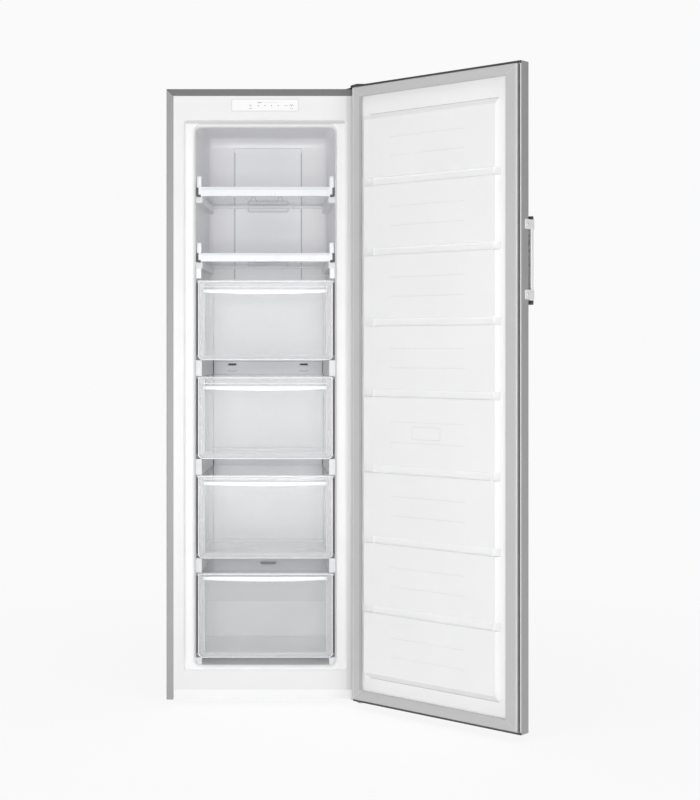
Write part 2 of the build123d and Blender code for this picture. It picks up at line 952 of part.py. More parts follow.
def levelling_foot(side):
    x = side * rail_x()
    disc = rod((x, foot_y, 0), (0, 0, 1), foot_radius, foot_height)
    disc = chamfer(disc.edges().sort_by(Axis.Z)[-1], foot_edge)
    length = base_top - foot_height - foot_top_gap
    shank = rod((x, foot_y, foot_height), (0, 0, 1), foot_shank_radius, length)
    nut = extrude(Pos(x, foot_y, foot_height) * RegularPolygon(foot_nut, 6), foot_nut_height)
    return disc + shank + nut


def roller(side):
    x = side * rail_x()
    start = (x - roller_width / 2, roller_y, roller_radius)
    wheel = rod(start, (1, 0, 0), roller_radius, roller_width)
    wheel = chamfer(wheel.edges().filter_by(GeomType.CIRCLE), roller_edge)
    return wheel - rod(start, (1, 0, 0), axle_radius + running_gap, roller_width)


def roller_axles():
    length = rail_width + 2 * axle_stand
    pin = rod((rail_x() - length / 2, roller_y, roller_radius), (1, 0, 0), axle_radius, length)
    return both_sides(pin)


def power_gland():
    """The grommet where the supply enters the machine space."""
    place = (gland_x, machine_front, gland_z)
    collar = rod(place, (0, 1, 0), gland_collar, gland_lip)
    neck = rod(place, (0, 1, 0), gland_neck, gland_length)
    return collar + neck - rod(place, (0, 1, 0), gland_bore, gland_length)


# ---------------------------------------------------------------- shelves
def shelf_frame(number):
    """A rim for the glass with a taller bar in front and an upright at each end of the bar."""
    z0 = shelf_bottoms[number]
    z1 = z0 + shelf_rim_height
    y0 = front_setback
    y1 = y0 + shelf_bar_depth
    y2 = room_back - cover_depth - rear_gap
    bar = between_walls(side_gap, y0, y1, z0, z0 + shelf_bar_heights[number])
    bar = fillet(bar.edges().filter_by(Axis.X).group_by(Axis.Y)[0], shelf_bar_radius)
    rim = between_walls(side_gap, y1, y2, z0, z1)
    reach = side_gap + shelf_rim_width
    rim -= between_walls(reach, y1, y2 - shelf_rim_width, z0 - 1, z1 + 1)
    outer = wall_at(y0) - side_gap
    cheek_top = z0 + shelf_cheek_heights[number]
    cheek = block(outer - shelf_cheek_width, outer - 0.5, y0 + shelf_bar_radius, y1, z0, cheek_top)
    cheek = fillet(cheek.edges().filter_by(Axis.X).group_by(Axis.Z)[-1], shelf_cheek_radius)
    frame = bar + rim + both_sides(cheek)
    return frame - shelf_pane(number, glass_gap)


def shelf_pane(number, gap=0.0):
    """The glass, which lies on the rim and reaches into the front bar."""
    z0 = shelf_bottoms[number] + shelf_rim_height
    y1 = front_setback + shelf_bar_depth - glass_seat
    y2 = room_back - cover_depth - rear_gap - shelf_rim_width + glass_seat
    inset = side_gap + shelf_rim_width - glass_seat
    return between_walls(inset - gap, y1 - gap, y2 + gap, z0, z0 + shelf_glass + gap)


# ---------------------------------------------------------------- drawers
def drawer(number):
    """A clear moulded tub that hangs between the rails, with a rim and a bowed grip in front."""
    z0 = drawer_bottoms[number]
    z1 = drawer_tops[number]
    y0 = front_setback
    y1 = room_back - cover_depth - rear_gap
    if number == len(drawer_bottoms) - 1:
        y1 = hump_front - rear_gap
    tub = between_walls(side_gap, y0, y1, z0, z1)
    tub = fillet(tub.edges().group_by(Axis.Z)[0], drawer_radius)
    wall = drawer_wall
    inside = between_walls(side_gap + wall, y0 + wall, y1 - wall, z0 + wall, z1 + drawer_radius)
    inside = fillet(inside.edges().group_by(Axis.Z)[0], drawer_radius - wall)
    tub -= inside
    rim = between_walls(side_gap - rim_reach, y0 - rim_reach, y1, z1 - rim_height, z1)
    rim -= between_walls(side_gap + wall, y0 + wall, y1 - wall, z0, z1 + 1)
    grip_z = z1 - grip_drops[number]
    half = grip_width / 2
    bow = make_face(
        Wire(
            [
                Line((-half, grip_z), (-half, grip_z + grip_height)),
                ThreePointArc(
                    (-half, grip_z + grip_height),
                    (0, grip_z + grip_height - grip_bow),
                    (half, grip_z + grip_height),
                ),
                Line((half, grip_z + grip_height), (half, grip_z)),
                ThreePointArc((half, grip_z), (0, grip_z - grip_bow), (-half, grip_z)),
            ]
        )
    )
    grip = Pos(0, y0 + 1, 0) * extrude(Plane.XZ * bow, grip_reach + 1)
    return tub + rim + grip


# ---------------------------------------------------------------- door, made shut
def door_pads(inset):
    """The raised field on the inside of the door, with a groove between each two pads.

    It slopes on three sides and stands upright on the hinge side. The inset narrows it
    and widens its grooves, for the body that carries the liner.
    """
    left = inset - pad_free_side
    right = pad_hinge_side - inset
    beyond = right + 2 * pad_height
    height = pad_top - pad_bottom - 2 * inset
    middle = (pad_top + pad_bottom) / 2
    outline = Pos((left + beyond) / 2, 0) * RectangleRounded(beyond - left, height, pad_radius - inset)
    ground = Plane(origin=(0, door_back, middle), x_dir=(1, 0, 0), z_dir=(0, 1, 0))
    field = extrude(ground * outline, pad_height, taper=pad_slope)
    field &= block(left, right, door_back, door_back + pad_height, pad_bottom, pad_top)
    free_run = pad_free_side - groove_inset
    hinge_run = pad_hinge_side - groove_inset
    floor = door_back + groove_floor
    for centre in groove_centres:
        z0 = centre - groove_height / 2 - inset
        z1 = centre + groove_height / 2 + inset
        middle_cut = block(-free_run - inset, hinge_run + inset, floor, 2 * pad_height, z0, z1)
        middle_cut = fillet(middle_cut.edges().filter_by(Axis.X).group_by(Axis.Y)[0], groove_radius)
        field -= middle_cut
        field -= mirror(groove_end(free_run, inset, z0, z1), about=Plane.YZ)
        field -= groove_end(hinge_run, inset, z0, z1)
    corners = [edge for edge in field.edges().filter_by(Axis.Y) if edge.center().X > right - 0.01]
    return fillet(corners, pad_corner - inset)


def groove_end(run, inset, z0, z1):
    """A narrow step at the end of a groove's floor, and the lower floor beyond it."""
    end = run + groove_notch
    low = door_back + groove_end_floor
    step = door_back + groove_floor + groove_notch_rise
    notch = block(run - inset, end + inset, step, 2 * pad_height, z0, z1)
    return notch + block(end - inset, half_cabinet, low, 2 * pad_height, z0, z1)


def door_liner(pads, pads_core):
    edge = half_cabinet - liner_margin
    z0 = door_bottom + cap_height
    z1 = door_top - cap_height
    sheet = block(-edge, edge, door_back - liner_wall, door_back, z0, z1)
    sheet -= Pos(0, -liner_wall, 0) * pads_core
    return sheet + (pads - Pos(0, -liner_wall, 0) * pads_core)


def door_skin():
    """One steel sheet folded round the front and both long sides of the door."""
    back = door_back - liner_wall
    outside = block(-half_cabinet, half_cabinet, door_front, back, door_bottom, door_top)
    outside = fillet(outside.edges().filter_by(Axis.Z).group_by(Axis.Y)[0], door_corner)
    inside = block(-foam_edge, foam_edge, door_front + steel, 0, 0, door_top + 1)
    inside = fillet(inside.edges().filter_by(Axis.Z).group_by(Axis.Y)[0], door_corner - steel)
    skin = outside - inside
    for shank in handle_shanks():
        skin -= shank
    return skin


def door_core_outline(z0, z1):
    core = block(-foam_edge, foam_edge, door_front + steel, door_back - liner_wall, z0, z1)
    return fillet(core.edges().filter_by(Axis.Z).group_by(Axis.Y)[0], door_corner - steel)


def bush_body(top, extra=0.0):
    """The round body of a hinge bush, at the top or the bottom of the door."""
    length = pin_reach + bush_end
    bottom = door_top - length if top else door_bottom - extra
    return rod((pivot_x, pivot_y, bottom), (0, 0, 1), bush_radius, length + extra)


def door_foam(pads_core):
    core = door_core_outline(door_bottom + cap_height, door_top - cap_height)
    core += Pos(0, -liner_wall, 0) * pads_core
    for shank in handle_shanks():
        core -= shank
    return core - bush_body(True, 1) - bush_body(False, 1)


def door_cap(top):
    if top:
        z0 = door_top - cap_height
        z1 = door_top - cap_gap
    else:
        z0 = door_bottom + cap_gap
        z1 = door_bottom + cap_height
    cap = door_core_outline(z0, z1)
    edge = half_cabinet - liner_margin
    cap += block(-edge, edge, door_back - liner_wall, door_back, z0, z1)
    return cap - bush_body(top, 1)


def hinge_bush(top):
    """A closed nylon bush for a hinge pin. The lower one has a flange that carries the door."""
    body = bush_body(top)
    bore = pin_radius + running_gap
    depth = pin_reach + 1
    if top:
        return body - rod((pivot_x, pivot_y, door_top - depth), (0, 0, 1), bore, depth)
    height = door_bottom - beam_bottom - bush_gap
    body += rod((pivot_x, pivot_y, door_bottom - height), (0, 0, 1), bush_flange, height)
    return body - rod((pivot_x, pivot_y, 0), (0, 0, 1), bore, door_bottom + depth)


def gasket_edge(share, outset):
    """A frame of X and Z limits: share 0 is the gasket's outer edge and 1 its inner edge."""
    free = gasket_free_margin + share * gasket_free_width - outset
    hinge = gasket_hinge_margin + share * gasket_hinge_width - outset
    end = gasket_end_margin + share * gasket_end_width - outset
    return free - half_cabinet, half_cabinet - hinge, door_bottom + end, door_top - end


def gasket_ring(outer, inner, y0, y1):
    """The frame between two sets of X and Z limits."""
    body = block(outer[0], outer[1], y0, y1, outer[2], outer[3])
    return body - block(inner[0], inner[1], y0, y1, inner[2], inner[3])


def door_gasket():
    """A rubber frame: a foot in the liner, a waist, and a wide magnet strip that meets the cabinet."""
    waist = door_back + gasket_waist
    shoulder = gasket_face - gasket_magnet
    side = gasket_foot / 2
    foot = gasket_ring(gasket_edge(0.5, side), gasket_edge(0.5, -side), door_back, waist)
    body = gasket_ring(gasket_edge(0, 0), gasket_edge(1, 0), waist, shoulder)
    outer = gasket_edge(0, -gasket_step)
    face = gasket_ring(outer, gasket_edge(1, gasket_step), shoulder, gasket_face)
    return foot + body + face


# ---------------------------------------------------------------- handle
def handle_line():
    """Where the grip bar stands: X of its middle and Y of its middle."""
    x = -half_cabinet - bracket_plate + bracket_width / 2
    y = door_front - handle_reach + bar_depth / 2
    return x, y


def grip_bar():
    bar = bar_section(handle_bottom, handle_top)
    levels = bar.edges().group_by(Axis.Z)
    return chamfer(levels[0] + levels[-1], bar_end_edge)


def bar_section(z0, z1):
    x, y = handle_line()
    side = bar_width / 2
    deep = bar_depth / 2
    bar = block(x - side, x + side, y - deep, y + deep, z0, z1)
    return fillet(bar.edges().filter_by(Axis.Z), bar_radius)


def handle_brackets():
    """Two arms that hold the bar, each with a plate screwed to the door's side."""
    outer = -half_cabinet - bracket_plate
    front = door_front - handle_reach - bracket_nose
    seam = door_front - bracket_gap
    pieces = []
    for centre in bracket_centres:
        z0 = centre - bracket_height / 2
        z1 = centre + bracket_height / 2
        arm = block(outer, outer + bracket_width, front, seam, z0, z1)
        arm = fillet(arm.edges().filter_by(Axis.Z).group_by(Axis.Y)[0], bracket_radius)
        tab = block(outer, -half_cabinet, seam, door_front + bracket_wrap, z0, z1)
        tab = fillet(tab.edges().filter_by(Axis.X).group_by(Axis.Y)[-1], bracket_radius)
        pieces.append(arm + tab - bar_section(z0 - 1, z1 + 1))
    brackets = Compound(pieces)
    for shank in handle_shanks():
        brackets -= shank
    return brackets


def handle_shanks():
    start = -half_cabinet - bracket_plate
    y = door_front + bracket_wrap / 2
    return [rod((start, y, z), (1, 0, 0), screw_shank, screw_length) for z in bracket_centres]


def handle_screws():
    x = -half_cabinet - bracket_plate - screw_head
    y = door_front + bracket_wrap / 2
    screws = []
    for centre, shank in zip(bracket_centres, handle_shanks()):
        head = rod((x, y, centre), (1, 0, 0), screw_radius, screw_head)
        head = chamfer(head.edges().sort_by(Axis.X)[0], screw_head_edge)
        screws.append(head + shank)
    return Compound(screws)


# ---------------------------------------------------------------- hinges
def hinge_arm(z0, z1, back, width):
    """A flat bracket that reaches forward from the cabinet and ends round the pivot."""
    left = pivot_x + hinge_nose - width
    right = pivot_x + hinge_nose - hinge_edge
    arm = block(left, right, hinge_start, back, z0, z1)
    nose = block(pivot_x - hinge_nose, right, pivot_y, hinge_start, z0, z1)
    eye = rod((pivot_x, pivot_y, z0), (0, 0, 1), hinge_nose - hinge_edge, z1 - z0)
    return arm + nose + eye


def upper_hinge():
    """A plate bolted to the cabinet's top that steps up over the door and holds the pin."""
    step = door_top + hinge_over_door
    left = pivot_x + hinge_nose - upper_hinge_width
    right = pivot_x + hinge_nose - hinge_edge
    reach = hinge_rise_y + hinge_plate
    front_part = hinge_arm(step, step + hinge_plate, reach, 2 * hinge_nose)
    riser = block(pivot_x - hinge_nose, right, hinge_rise_y, reach, cabinet_top, step)
    rear_part = block(left, right, hinge_rise_y, hinge_back, cabinet_top, cabinet_top + hinge_plate)
    for shank in hinge_bolts(cabinet_top - 1, cabinet_top + hinge_plate + 1):
        rear_part -= shank
    pin_end = door_top - pin_reach
    pin = rod((pivot_x, pivot_y, pin_end), (0, 0, 1), pin_radius, step - pin_end)
    return front_part + riser + rear_part + pin


def hinge_screws():
    top = cabinet_top + hinge_plate
    bolts = []
    for shank in hinge_bolts(cabinet_top - bolt_depth, top):
        middle = shank.center()
        head = extrude(Pos(middle.X, middle.Y, top) * RegularPolygon(bolt_head, 6), bolt_head_height)
        bolts.append(shank + head)
    return Compound(bolts)


def hinge_cap_shape(inset):
    """The cap's outside, or its hollow when set in by its wall."""
    top = door_top + hinge_over_door + hinge_plate + cap_top_gap + cap_wall - inset
    low = half_cabinet - cap_left + 2 * inset
    level = half_cabinet - cap_level + inset
    right = half_cabinet - cap_right - inset
    front = pivot_y - cap_front + inset
    back = cap_back - inset
    outline = make_face(
        Polyline((low, cabinet_top), (level, top), (right, top), (right, cabinet_top), close=True)
    )
    return Pos(0, back, 0) * extrude(Plane.XZ * outline, back - front)


def hinge_cover():
    """A low moulded cap over the upper hinge, sloping down to the left and open below."""
    cap = hinge_cap_shape(0.0)
    cap = fillet(cap.edges().filter_by(Axis.Y).group_by(Axis.Z)[-1], cap_corner)
    cap -= hinge_cap_shape(cap_wall)
    front = pivot_y - 2 * cap_front
    return cap - block(0, half_cabinet, front, 0, 0, door_top + hinge_over_door / 2)


def lower_hinge():
    """A plate under the front beam with the pin that carries the door."""
    z1 = beam_bottom
    z0 = z1 - hinge_plate
    plate = hinge_arm(z0, z1, beam_front + beam_depth, hinge_width)
    pin = rod((pivot_x, pivot_y, z0), (0, 0, 1), pin_radius, door_bottom - z0 + pin_reach)
    for shank in lower_bolts(z0 - 1, z1 + 1):
        plate -= shank
    return plate + pin


def lower_hinge_screws():
    bottom = beam_bottom - hinge_plate
    screws = []
    for shank in lower_bolts(bottom, beam_bottom + rail_wall + lower_bolt_stand):
        middle = shank.center()
        place = Pos(middle.X, middle.Y, bottom - bolt_head_height)
        screws.append(shank + extrude(place * RegularPolygon(bolt_head, 6), bolt_head_height))
    return Compound(screws)


# ---------------------------------------------------------------- the whole freezer
def make_door():
    """Every piece that swings, made shut and then turned open about the hinge pins."""
    pads = door_pads(0.0)
    pads_core = door_pads(liner_wall)
    pieces = {
        "door_skin": door_skin(),
        "door_liner": door_liner(pads, pads_core),
        "door_foam": door_foam(pads_core),
        "door_top_cap": door_cap(True),
        "door_bottom_cap": door_cap(False),
        "door_gasket": door_gasket(),
        "upper_hinge_bush": hinge_bush(True),
        "lower_hinge_bush": hinge_bush(False),
        "handle_bar": grip_bar(),
        "handle_brackets": handle_brackets(),
        "handle_screws": handle_screws(),
    }
    axis = Axis((pivot_x, pivot_y, 0), (0, 0, 1))
    return {name: piece.rotate(axis, opening_angle) for name, piece in pieces.items()}


def make_cabinet():
    inner_room = room(0.0)
    grown_room = room(liner_wall)
    return {
        "cabinet_wrap": cabinet_wrap(),
        "rear_panel": rear_panel(),
        "floor_sheet": floor_sheet(),
        "insulation_foam": insulation_foam(grown_room),
        "inner_liner": inner_liner(grown_room, inner_room),
        "control_fascia": control_fascia(),
        "control_board": control_board(),
        "indicator_lights": indicator_lights(),
        "plinth": plinth(),
        "duct_cover": duct_cover(),
        "evaporator_cover": evaporator_cover(),
        "evaporator_fins": evaporator_fins(),
        "evaporator_coil": evaporator_coil(),
        "defrost_heater": defrost_heater(),
        "fan_motor": fan_motor(),
        "drain_tube": drain_tube(),
        "machine_tray": machine_tray(),
        "compressor": compressor(),
        "compressor_grommets": compressor_grommets(),
        "relay_cover": relay_cover(),
        "refrigerant_pipes": refrigerant_pipes(),
        "drip_tray": drip_tray(),
        "power_gland": power_gland(),
        "base_frame": base_frame(),
        "roller_axles": roller_axles(),
        "upper_hinge": upper_hinge(),
        "hinge_screws": hinge_screws(),
        "hinge_cover": hinge_cover(),
        "lower_hinge": lower_hinge(),
        "lower_hinge_screws": lower_hinge_screws(),
    }


def make_moving():
    """The pieces that slide or turn inside or under the cabinet."""
    pieces = {
        "control_button": control_button(),
        "fan_wheel": fan_wheel(),
        "left_foot": levelling_foot(-1),
        "right_foot": levelling_foot(1),
        "left_roller": roller(-1),
        "right_roller": roller(1),
    }
    for number in range(len(drawer_bottoms)):
        pieces[f"drawer_{number + 1}"] = drawer(number)
    for number in range(len(shelf_bottoms)):
        pieces[f"shelf_{number + 1}_frame"] = shelf_frame(number)
        pieces[f"shelf_{number + 1}_glass"] = shelf_pane(number)
    return pieces


nodes = {**make_cabinet(), **make_door(), **make_moving()}
whole = Compound(list(nodes.values())).bounding_box()
centre_x = (whole.min.X + whole.max.X) / 2
centre_y = (whole.min.Y + whole.max.Y) / 2
for name, shape in nodes.items():
    export_step(Pos(-centre_x, -centre_y, 0) * shape, f"parts/{name}.step")
print("origin, from the middle of the cabinet's front:", round(centre_x, 3), round(centre_y, 3))
print("size:", whole.size)
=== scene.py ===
import json
import math
import bmesh
import bpy
from mathutils import Matrix, Vector


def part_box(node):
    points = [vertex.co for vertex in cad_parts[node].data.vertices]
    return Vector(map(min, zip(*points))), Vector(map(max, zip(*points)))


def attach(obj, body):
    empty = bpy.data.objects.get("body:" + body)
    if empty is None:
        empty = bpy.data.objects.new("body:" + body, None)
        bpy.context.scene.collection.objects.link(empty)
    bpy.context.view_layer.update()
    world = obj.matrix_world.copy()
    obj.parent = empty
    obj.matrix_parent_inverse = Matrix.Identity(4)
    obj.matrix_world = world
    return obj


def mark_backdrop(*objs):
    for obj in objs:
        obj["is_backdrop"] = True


# An upright freezer with its door open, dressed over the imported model. Metres, +Z up.
with open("model.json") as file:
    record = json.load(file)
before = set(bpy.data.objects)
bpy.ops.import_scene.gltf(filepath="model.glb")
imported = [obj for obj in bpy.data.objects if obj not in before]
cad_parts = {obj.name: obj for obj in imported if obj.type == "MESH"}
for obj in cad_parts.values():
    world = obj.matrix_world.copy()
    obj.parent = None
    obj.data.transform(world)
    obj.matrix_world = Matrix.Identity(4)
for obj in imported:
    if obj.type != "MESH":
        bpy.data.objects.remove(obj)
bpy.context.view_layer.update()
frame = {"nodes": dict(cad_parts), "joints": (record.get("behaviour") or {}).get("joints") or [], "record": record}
nodes = frame["nodes"]
joints = {joint["name"]: joint for joint in frame["joints"]}
MM = 0.001

# The cabinet's own place: X from its middle, Y from its front plane, Z from the floor.
wrap_low, wrap_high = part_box("cabinet_wrap")
HOME = Vector(((wrap_low.x + wrap_high.x) / 2, wrap_low.y, 0.0))
CABINET = Matrix.Translation(HOME) @ Matrix.Scale(MM, 4)

# The door's place as it stands when shut, turned open about the hinge.
hinge = joints["door_hinge"]
PIVOT = Vector((hinge["pos_m"][0], hinge["pos_m"][1], 0.0))
SWING = -math.radians(hinge["range_deg"][0])
DOOR = Matrix.Translation(PIVOT) @ Matrix.Rotation(SWING, 4, "Z") @ Matrix.Translation(-PIVOT) @ CABINET


# ------------------------------------------------------------------ materials
# Noise scales, in waves a metre: slow tone changes, patches of gloss, and the surface grain.
CLOUDS = 6.0
GLOSS_PATCHES = 60.0
FINE_GRAIN = 900.0

# Where tones change, in metres. The steel's lighter sides and the room liner's tones are painted light and shade.
RETURN_EDGE = (0.002, 0.004)  # behind the front plane, from the sheet's front return to its sides
STEP_DEPTH = (0.001, 0.003)  # from the liner's front to the step
ROOM_DEPTH = (0.016, 0.022)  # from the step to the room
RAIL_END_DEPTH = (0.1, 0.11)  # faces turned forward are greyer up to here
# Painted shadow of the open door on the liner's front:
SHADED_SIDE = (0.2415, 0.2455)  # right of the cabinet's middle
TOP_BAND = (0.024, 0.025)  # down from the cabinet's top
MITRE_EDGE = (-0.0003, 0.0003)  # either side of a mitre

# The parts of a normal between which a face counts as turned forward, or as level.
FORWARD = (-0.95, -0.75)
LEVEL = (0.7, 0.9)


def new_material(name):
    mat = bpy.data.materials.new(name)
    mat.use_nodes = True
    tree = mat.node_tree
    shader = tree.nodes["Principled BSDF"]
    return mat, tree, shader


def texture_place(tree, scale=(1.0, 1.0, 1.0)):
    where = tree.nodes.new("ShaderNodeTexCoord")
    mapping = tree.nodes.new("ShaderNodeMapping")
    mapping.inputs["Scale"].default_value = scale
    tree.links.new(where.outputs["Object"], mapping.inputs["Vector"])
    return mapping.outputs["Vector"]


def noise(tree, vector, scale, detail=3.0, roughness=0.5):
    node = tree.nodes.new("ShaderNodeTexNoise")
    node.inputs["Scale"].default_value = scale
    node.inputs["Detail"].default_value = detail
    node.inputs["Roughness"].default_value = roughness
    tree.links.new(vector, node.inputs["Vector"])
    return node.outputs["Fac"]


def ramp(tree, value, low, high, start=0.35, end=0.65):
    """Turns a pattern's value into a number between two others."""
    node = tree.nodes.new("ShaderNodeMapRange")
    node.inputs["From Min"].default_value = start
    node.inputs["From Max"].default_value = end
    node.inputs["To Min"].default_value = low
    node.inputs["To Max"].default_value = high
    tree.links.new(value, node.inputs["Value"])
    return node.outputs["Result"]


def tint(tree, value, dark, light):
    """Mixes two colours, each given as numbers or as another mix."""
    node = tree.nodes.new("ShaderNodeMix")
    node.data_type = "RGBA"
    for colour, socket in ((dark, node.inputs["A"]), (light, node.inputs["B"])):
        if isinstance(colour, tuple):
            socket.default_value = (*colour, 1.0)
        else:
            tree.links.new(colour, socket)
    tree.links.new(value, node.inputs["Factor"])
    return node.outputs["Result"]


def maths(tree, operation, a, b):
    node = tree.nodes.new("ShaderNodeMath")
    node.operation = operation
    for value, socket in ((a, node.inputs[0]), (b, node.inputs[1])):
        if isinstance(value, float):
            socket.default_value = value
        else:
            tree.links.new(value, socket)
    return node.outputs["Value"]


def bump(tree, shader, height, distance, strength=1.0):
    node = tree.nodes.new("ShaderNodeBump")
    node.inputs["Distance"].default_value = distance
    node.inputs["Strength"].default_value = strength
    tree.links.new(height, node.inputs["Height"])
    tree.links.new(node.outputs["Normal"], shader.inputs["Normal"])


def shade(colour, factor):
    return tuple(min(1.0, c * factor) for c in colour)


def moulded(name, colour, rough, vary=0.03, grain=FINE_GRAIN, grain_depth=0.00003, specular=0.5):
    """Plastic: a faint tone change, an uneven gloss and a fine surface grain."""
    mat, tree, shader = new_material(name)
    place = texture_place(tree)
    broad = noise(tree, place, CLOUDS, 4.0)
    tone = ramp(tree, broad, 0.0, 1.0)
    base = tint(tree, tone, shade(colour, 1 - vary), shade(colour, 1 + vary))
    tree.links.new(base, shader.inputs["Base Color"])
    fine = noise(tree, place, grain, 2.0)
    gloss = ramp(tree, noise(tree, place, GLOSS_PATCHES, 3.0), rough * 0.88, rough * 1.12)
    tree.links.new(gloss, shader.inputs["Roughness"])
    shader.inputs["Specular IOR Level"].default_value = specular
    bump(tree, shader, fine, grain_depth)
    return mat


def coated_steel(name, colour, dark):
    """Silver coated sheet, fine upright grain; a number in dark gives a darker top band and sides made lighter as
    painted light.
    """
    mat, tree, shader = new_material(name)
    place = texture_place(tree, (FINE_GRAIN, FINE_GRAIN, 14.0))
    grain = noise(tree, place, 1.0, 3.0)
    broad = noise(tree, texture_place(tree), 3.0, 3.0)
    streak = ramp(tree, grain, 0.0, 1.0, 0.3, 0.7)
    base = tint(tree, streak, shade(colour, 0.95), shade(colour, 1.05))
    if dark:
        base = darker_top(tree, base, shade(colour, dark))
        where = tree.nodes.new("ShaderNodeSeparateXYZ")
        tree.links.new(texture_place(tree), where.inputs["Vector"])
        depth = maths(tree, "SUBTRACT", where.outputs["Y"], HOME.y)
        # Painted light: the sides behind the front return are lighter than the front.
        sides = tint(tree, streak, shade(colour, 1.28), shade(colour, 1.42))
        base = tint(tree, ramp(tree, depth, 0.0, 1.0, *RETURN_EDGE), base, sides)
    tree.links.new(base, shader.inputs["Base Color"])
    shader.inputs["Metallic"].default_value = 0.35
    shader.inputs["Specular IOR Level"].default_value = 0.3
    tree.links.new(ramp(tree, broad, 0.5, 0.525), shader.inputs["Roughness"])
    bump(tree, shader, grain, 0.00002, 0.6)
    return mat


def darker_top(tree, base, dark):
    """The band across the top of the front, up to the mitres at its ends."""
    where = tree.nodes.new("ShaderNodeTexCoord")
    parts = tree.nodes.new("ShaderNodeSeparateXYZ")
    tree.links.new(where.outputs["Object"], parts.inputs["Vector"])

    from_middle = maths(tree, "ABSOLUTE", maths(tree, "SUBTRACT", parts.outputs["X"], HOME.x), 0.0)
    from_side = maths(tree, "SUBTRACT", (wrap_high.x - wrap_low.x) / 2, from_middle)
    from_top = maths(tree, "SUBTRACT", wrap_high.z, parts.outputs["Z"])
    inside = maths(tree, "SUBTRACT", from_side, from_top)
    mask = ramp(tree, inside, 0.0, 1.0, *MITRE_EDGE)
    near = ramp(tree, from_top, 1.0, 0.0, *TOP_BAND)
    return tint(tree, maths(tree, "MULTIPLY", mask, near), base, dark)


def room_liner(name):
    """White formed liner, toned with painted light and shade: a darker front, a painted door shadow at its right
    edge, a brighter step round the opening, a brighter, cooler room with lighter level faces, and greyer rail
    ends.
    """
    mat, tree, shader = new_material(name)
    place = texture_place(tree)
    where = tree.nodes.new("ShaderNodeTexCoord")
    spot = tree.nodes.new("ShaderNodeSeparateXYZ")
    tree.links.new(where.outputs["Object"], spot.inputs["Vector"])
    facing = tree.nodes.new("ShaderNodeSeparateXYZ")
    tree.links.new(where.outputs["Normal"], facing.inputs["Vector"])
    depth = maths(tree, "SUBTRACT", spot.outputs["Y"], HOME.y)
    across = maths(tree, "SUBTRACT", spot.outputs["X"], HOME.x)
    cloud = ramp(tree, noise(tree, place, CLOUDS, 4.0), 0.0, 1.0)
    front = tint(tree, cloud, (0.800, 0.800, 0.802), (0.816, 0.816, 0.818))
    # Painted shadow of the open door down the right edge of the front.
    front = tint(tree, ramp(tree, across, 0.0, 1.0, *SHADED_SIDE), front, (0.690, 0.690, 0.690))
    # Painted light: the step and the room are brighter than the front, and the room cooler.
    step = tint(tree, cloud, (0.872, 0.872, 0.874), (0.888, 0.888, 0.890))
    room = tint(tree, cloud, (0.885, 0.882, 0.897), (0.900, 0.897, 0.912))
    # Painted shade on faces turned forward near the front, such as the rail ends; painted light on level faces.
    painted_end_shade = maths(tree, "MULTIPLY", ramp(tree, facing.outputs["Y"], 1.0, 0.0, *FORWARD),
                 ramp(tree, depth, 1.0, 0.0, *RAIL_END_DEPTH))
    level = maths(tree, "ABSOLUTE", facing.outputs["Z"], 0.0)
    room = tint(tree, ramp(tree, level, 0.0, 1.0, *LEVEL), room, (0.965, 0.962, 0.980))
    room = tint(tree, painted_end_shade, room, (0.71, 0.715, 0.73))
    base = tint(tree, ramp(tree, depth, 0.0, 1.0, *STEP_DEPTH), front, step)
    base = tint(tree, ramp(tree, depth, 0.0, 1.0, *ROOM_DEPTH), base, room)
    tree.links.new(base, shader.inputs["Base Color"])
    tree.links.new(ramp(tree, noise(tree, place, GLOSS_PATCHES, 3.0), 0.32, 0.4), shader.inputs["Roughness"])
    bump(tree, shader, noise(tree, place, FINE_GRAIN, 2.0), 0.00003)
    return mat


def metal(name, colour, rough, scale=(600.0, 600.0, 20.0), vary=0.05, sheen=1.0, depth=0.00002):
    mat, tree, shader = new_material(name)
    grain = noise(tree, texture_place(tree, scale), 1.0, 3.0)
    streak = ramp(tree, grain, 0.0, 1.0, 0.3, 0.7)
    base = tint(tree, streak, shade(colour, 1 - vary), shade(colour, 1 + vary))
    tree.links.new(base, shader.inputs["Base Color"])
    shader.inputs["Metallic"].default_value = sheen
    tree.links.new(ramp(tree, grain, rough * 0.8, rough * 1.2), shader.inputs["Roughness"])
    bump(tree, shader, grain, depth, 0.5)
    return mat


def clear(name, colour, rough, haze, edge, grain=260.0):
    """Clear plastic or glass in a thin wall: see-through, with gloss and a milky edge."""
    mat, tree, shader = new_material(name)
    place = texture_place(tree)
    broad = noise(tree, place, 8.0, 3.0)
    tone = ramp(tree, broad, 0.0, 1.0)
    tree.links.new(tint(tree, tone, shade(colour, 0.97), shade(colour, 1.02)), shader.inputs["Base Color"])
    tree.links.new(ramp(tree, broad, rough * 0.8, rough * 1.2), shader.inputs["Roughness"])
    bump(tree, shader, noise(tree, place, grain, 2.0), 0.000006, 0.5)
    facing = tree.nodes.new("ShaderNodeLayerWeight")
    facing.inputs["Blend"].default_value = 0.35
    share = ramp(tree, facing.outputs["Facing"], haze, edge, 0.05, 0.95)
    see = tree.nodes.new("ShaderNodeBsdfTransparent")
    path = tree.nodes.new("ShaderNodeLightPath")
    lit = maths(tree, "SUBTRACT", 1.0, maths(tree, "MULTIPLY", path.outputs["Is Shadow Ray"], 0.35))
    mix = tree.nodes.new("ShaderNodeMixShader")
    tree.links.new(maths(tree, "MULTIPLY", share, lit), mix.inputs["Fac"])
    tree.links.new(see.outputs["BSDF"], mix.inputs[1])
    tree.links.new(shader.outputs["BSDF"], mix.inputs[2])
    tree.links.new(mix.outputs["Shader"], tree.nodes["Material Output"].inputs["Surface"])
    return mat
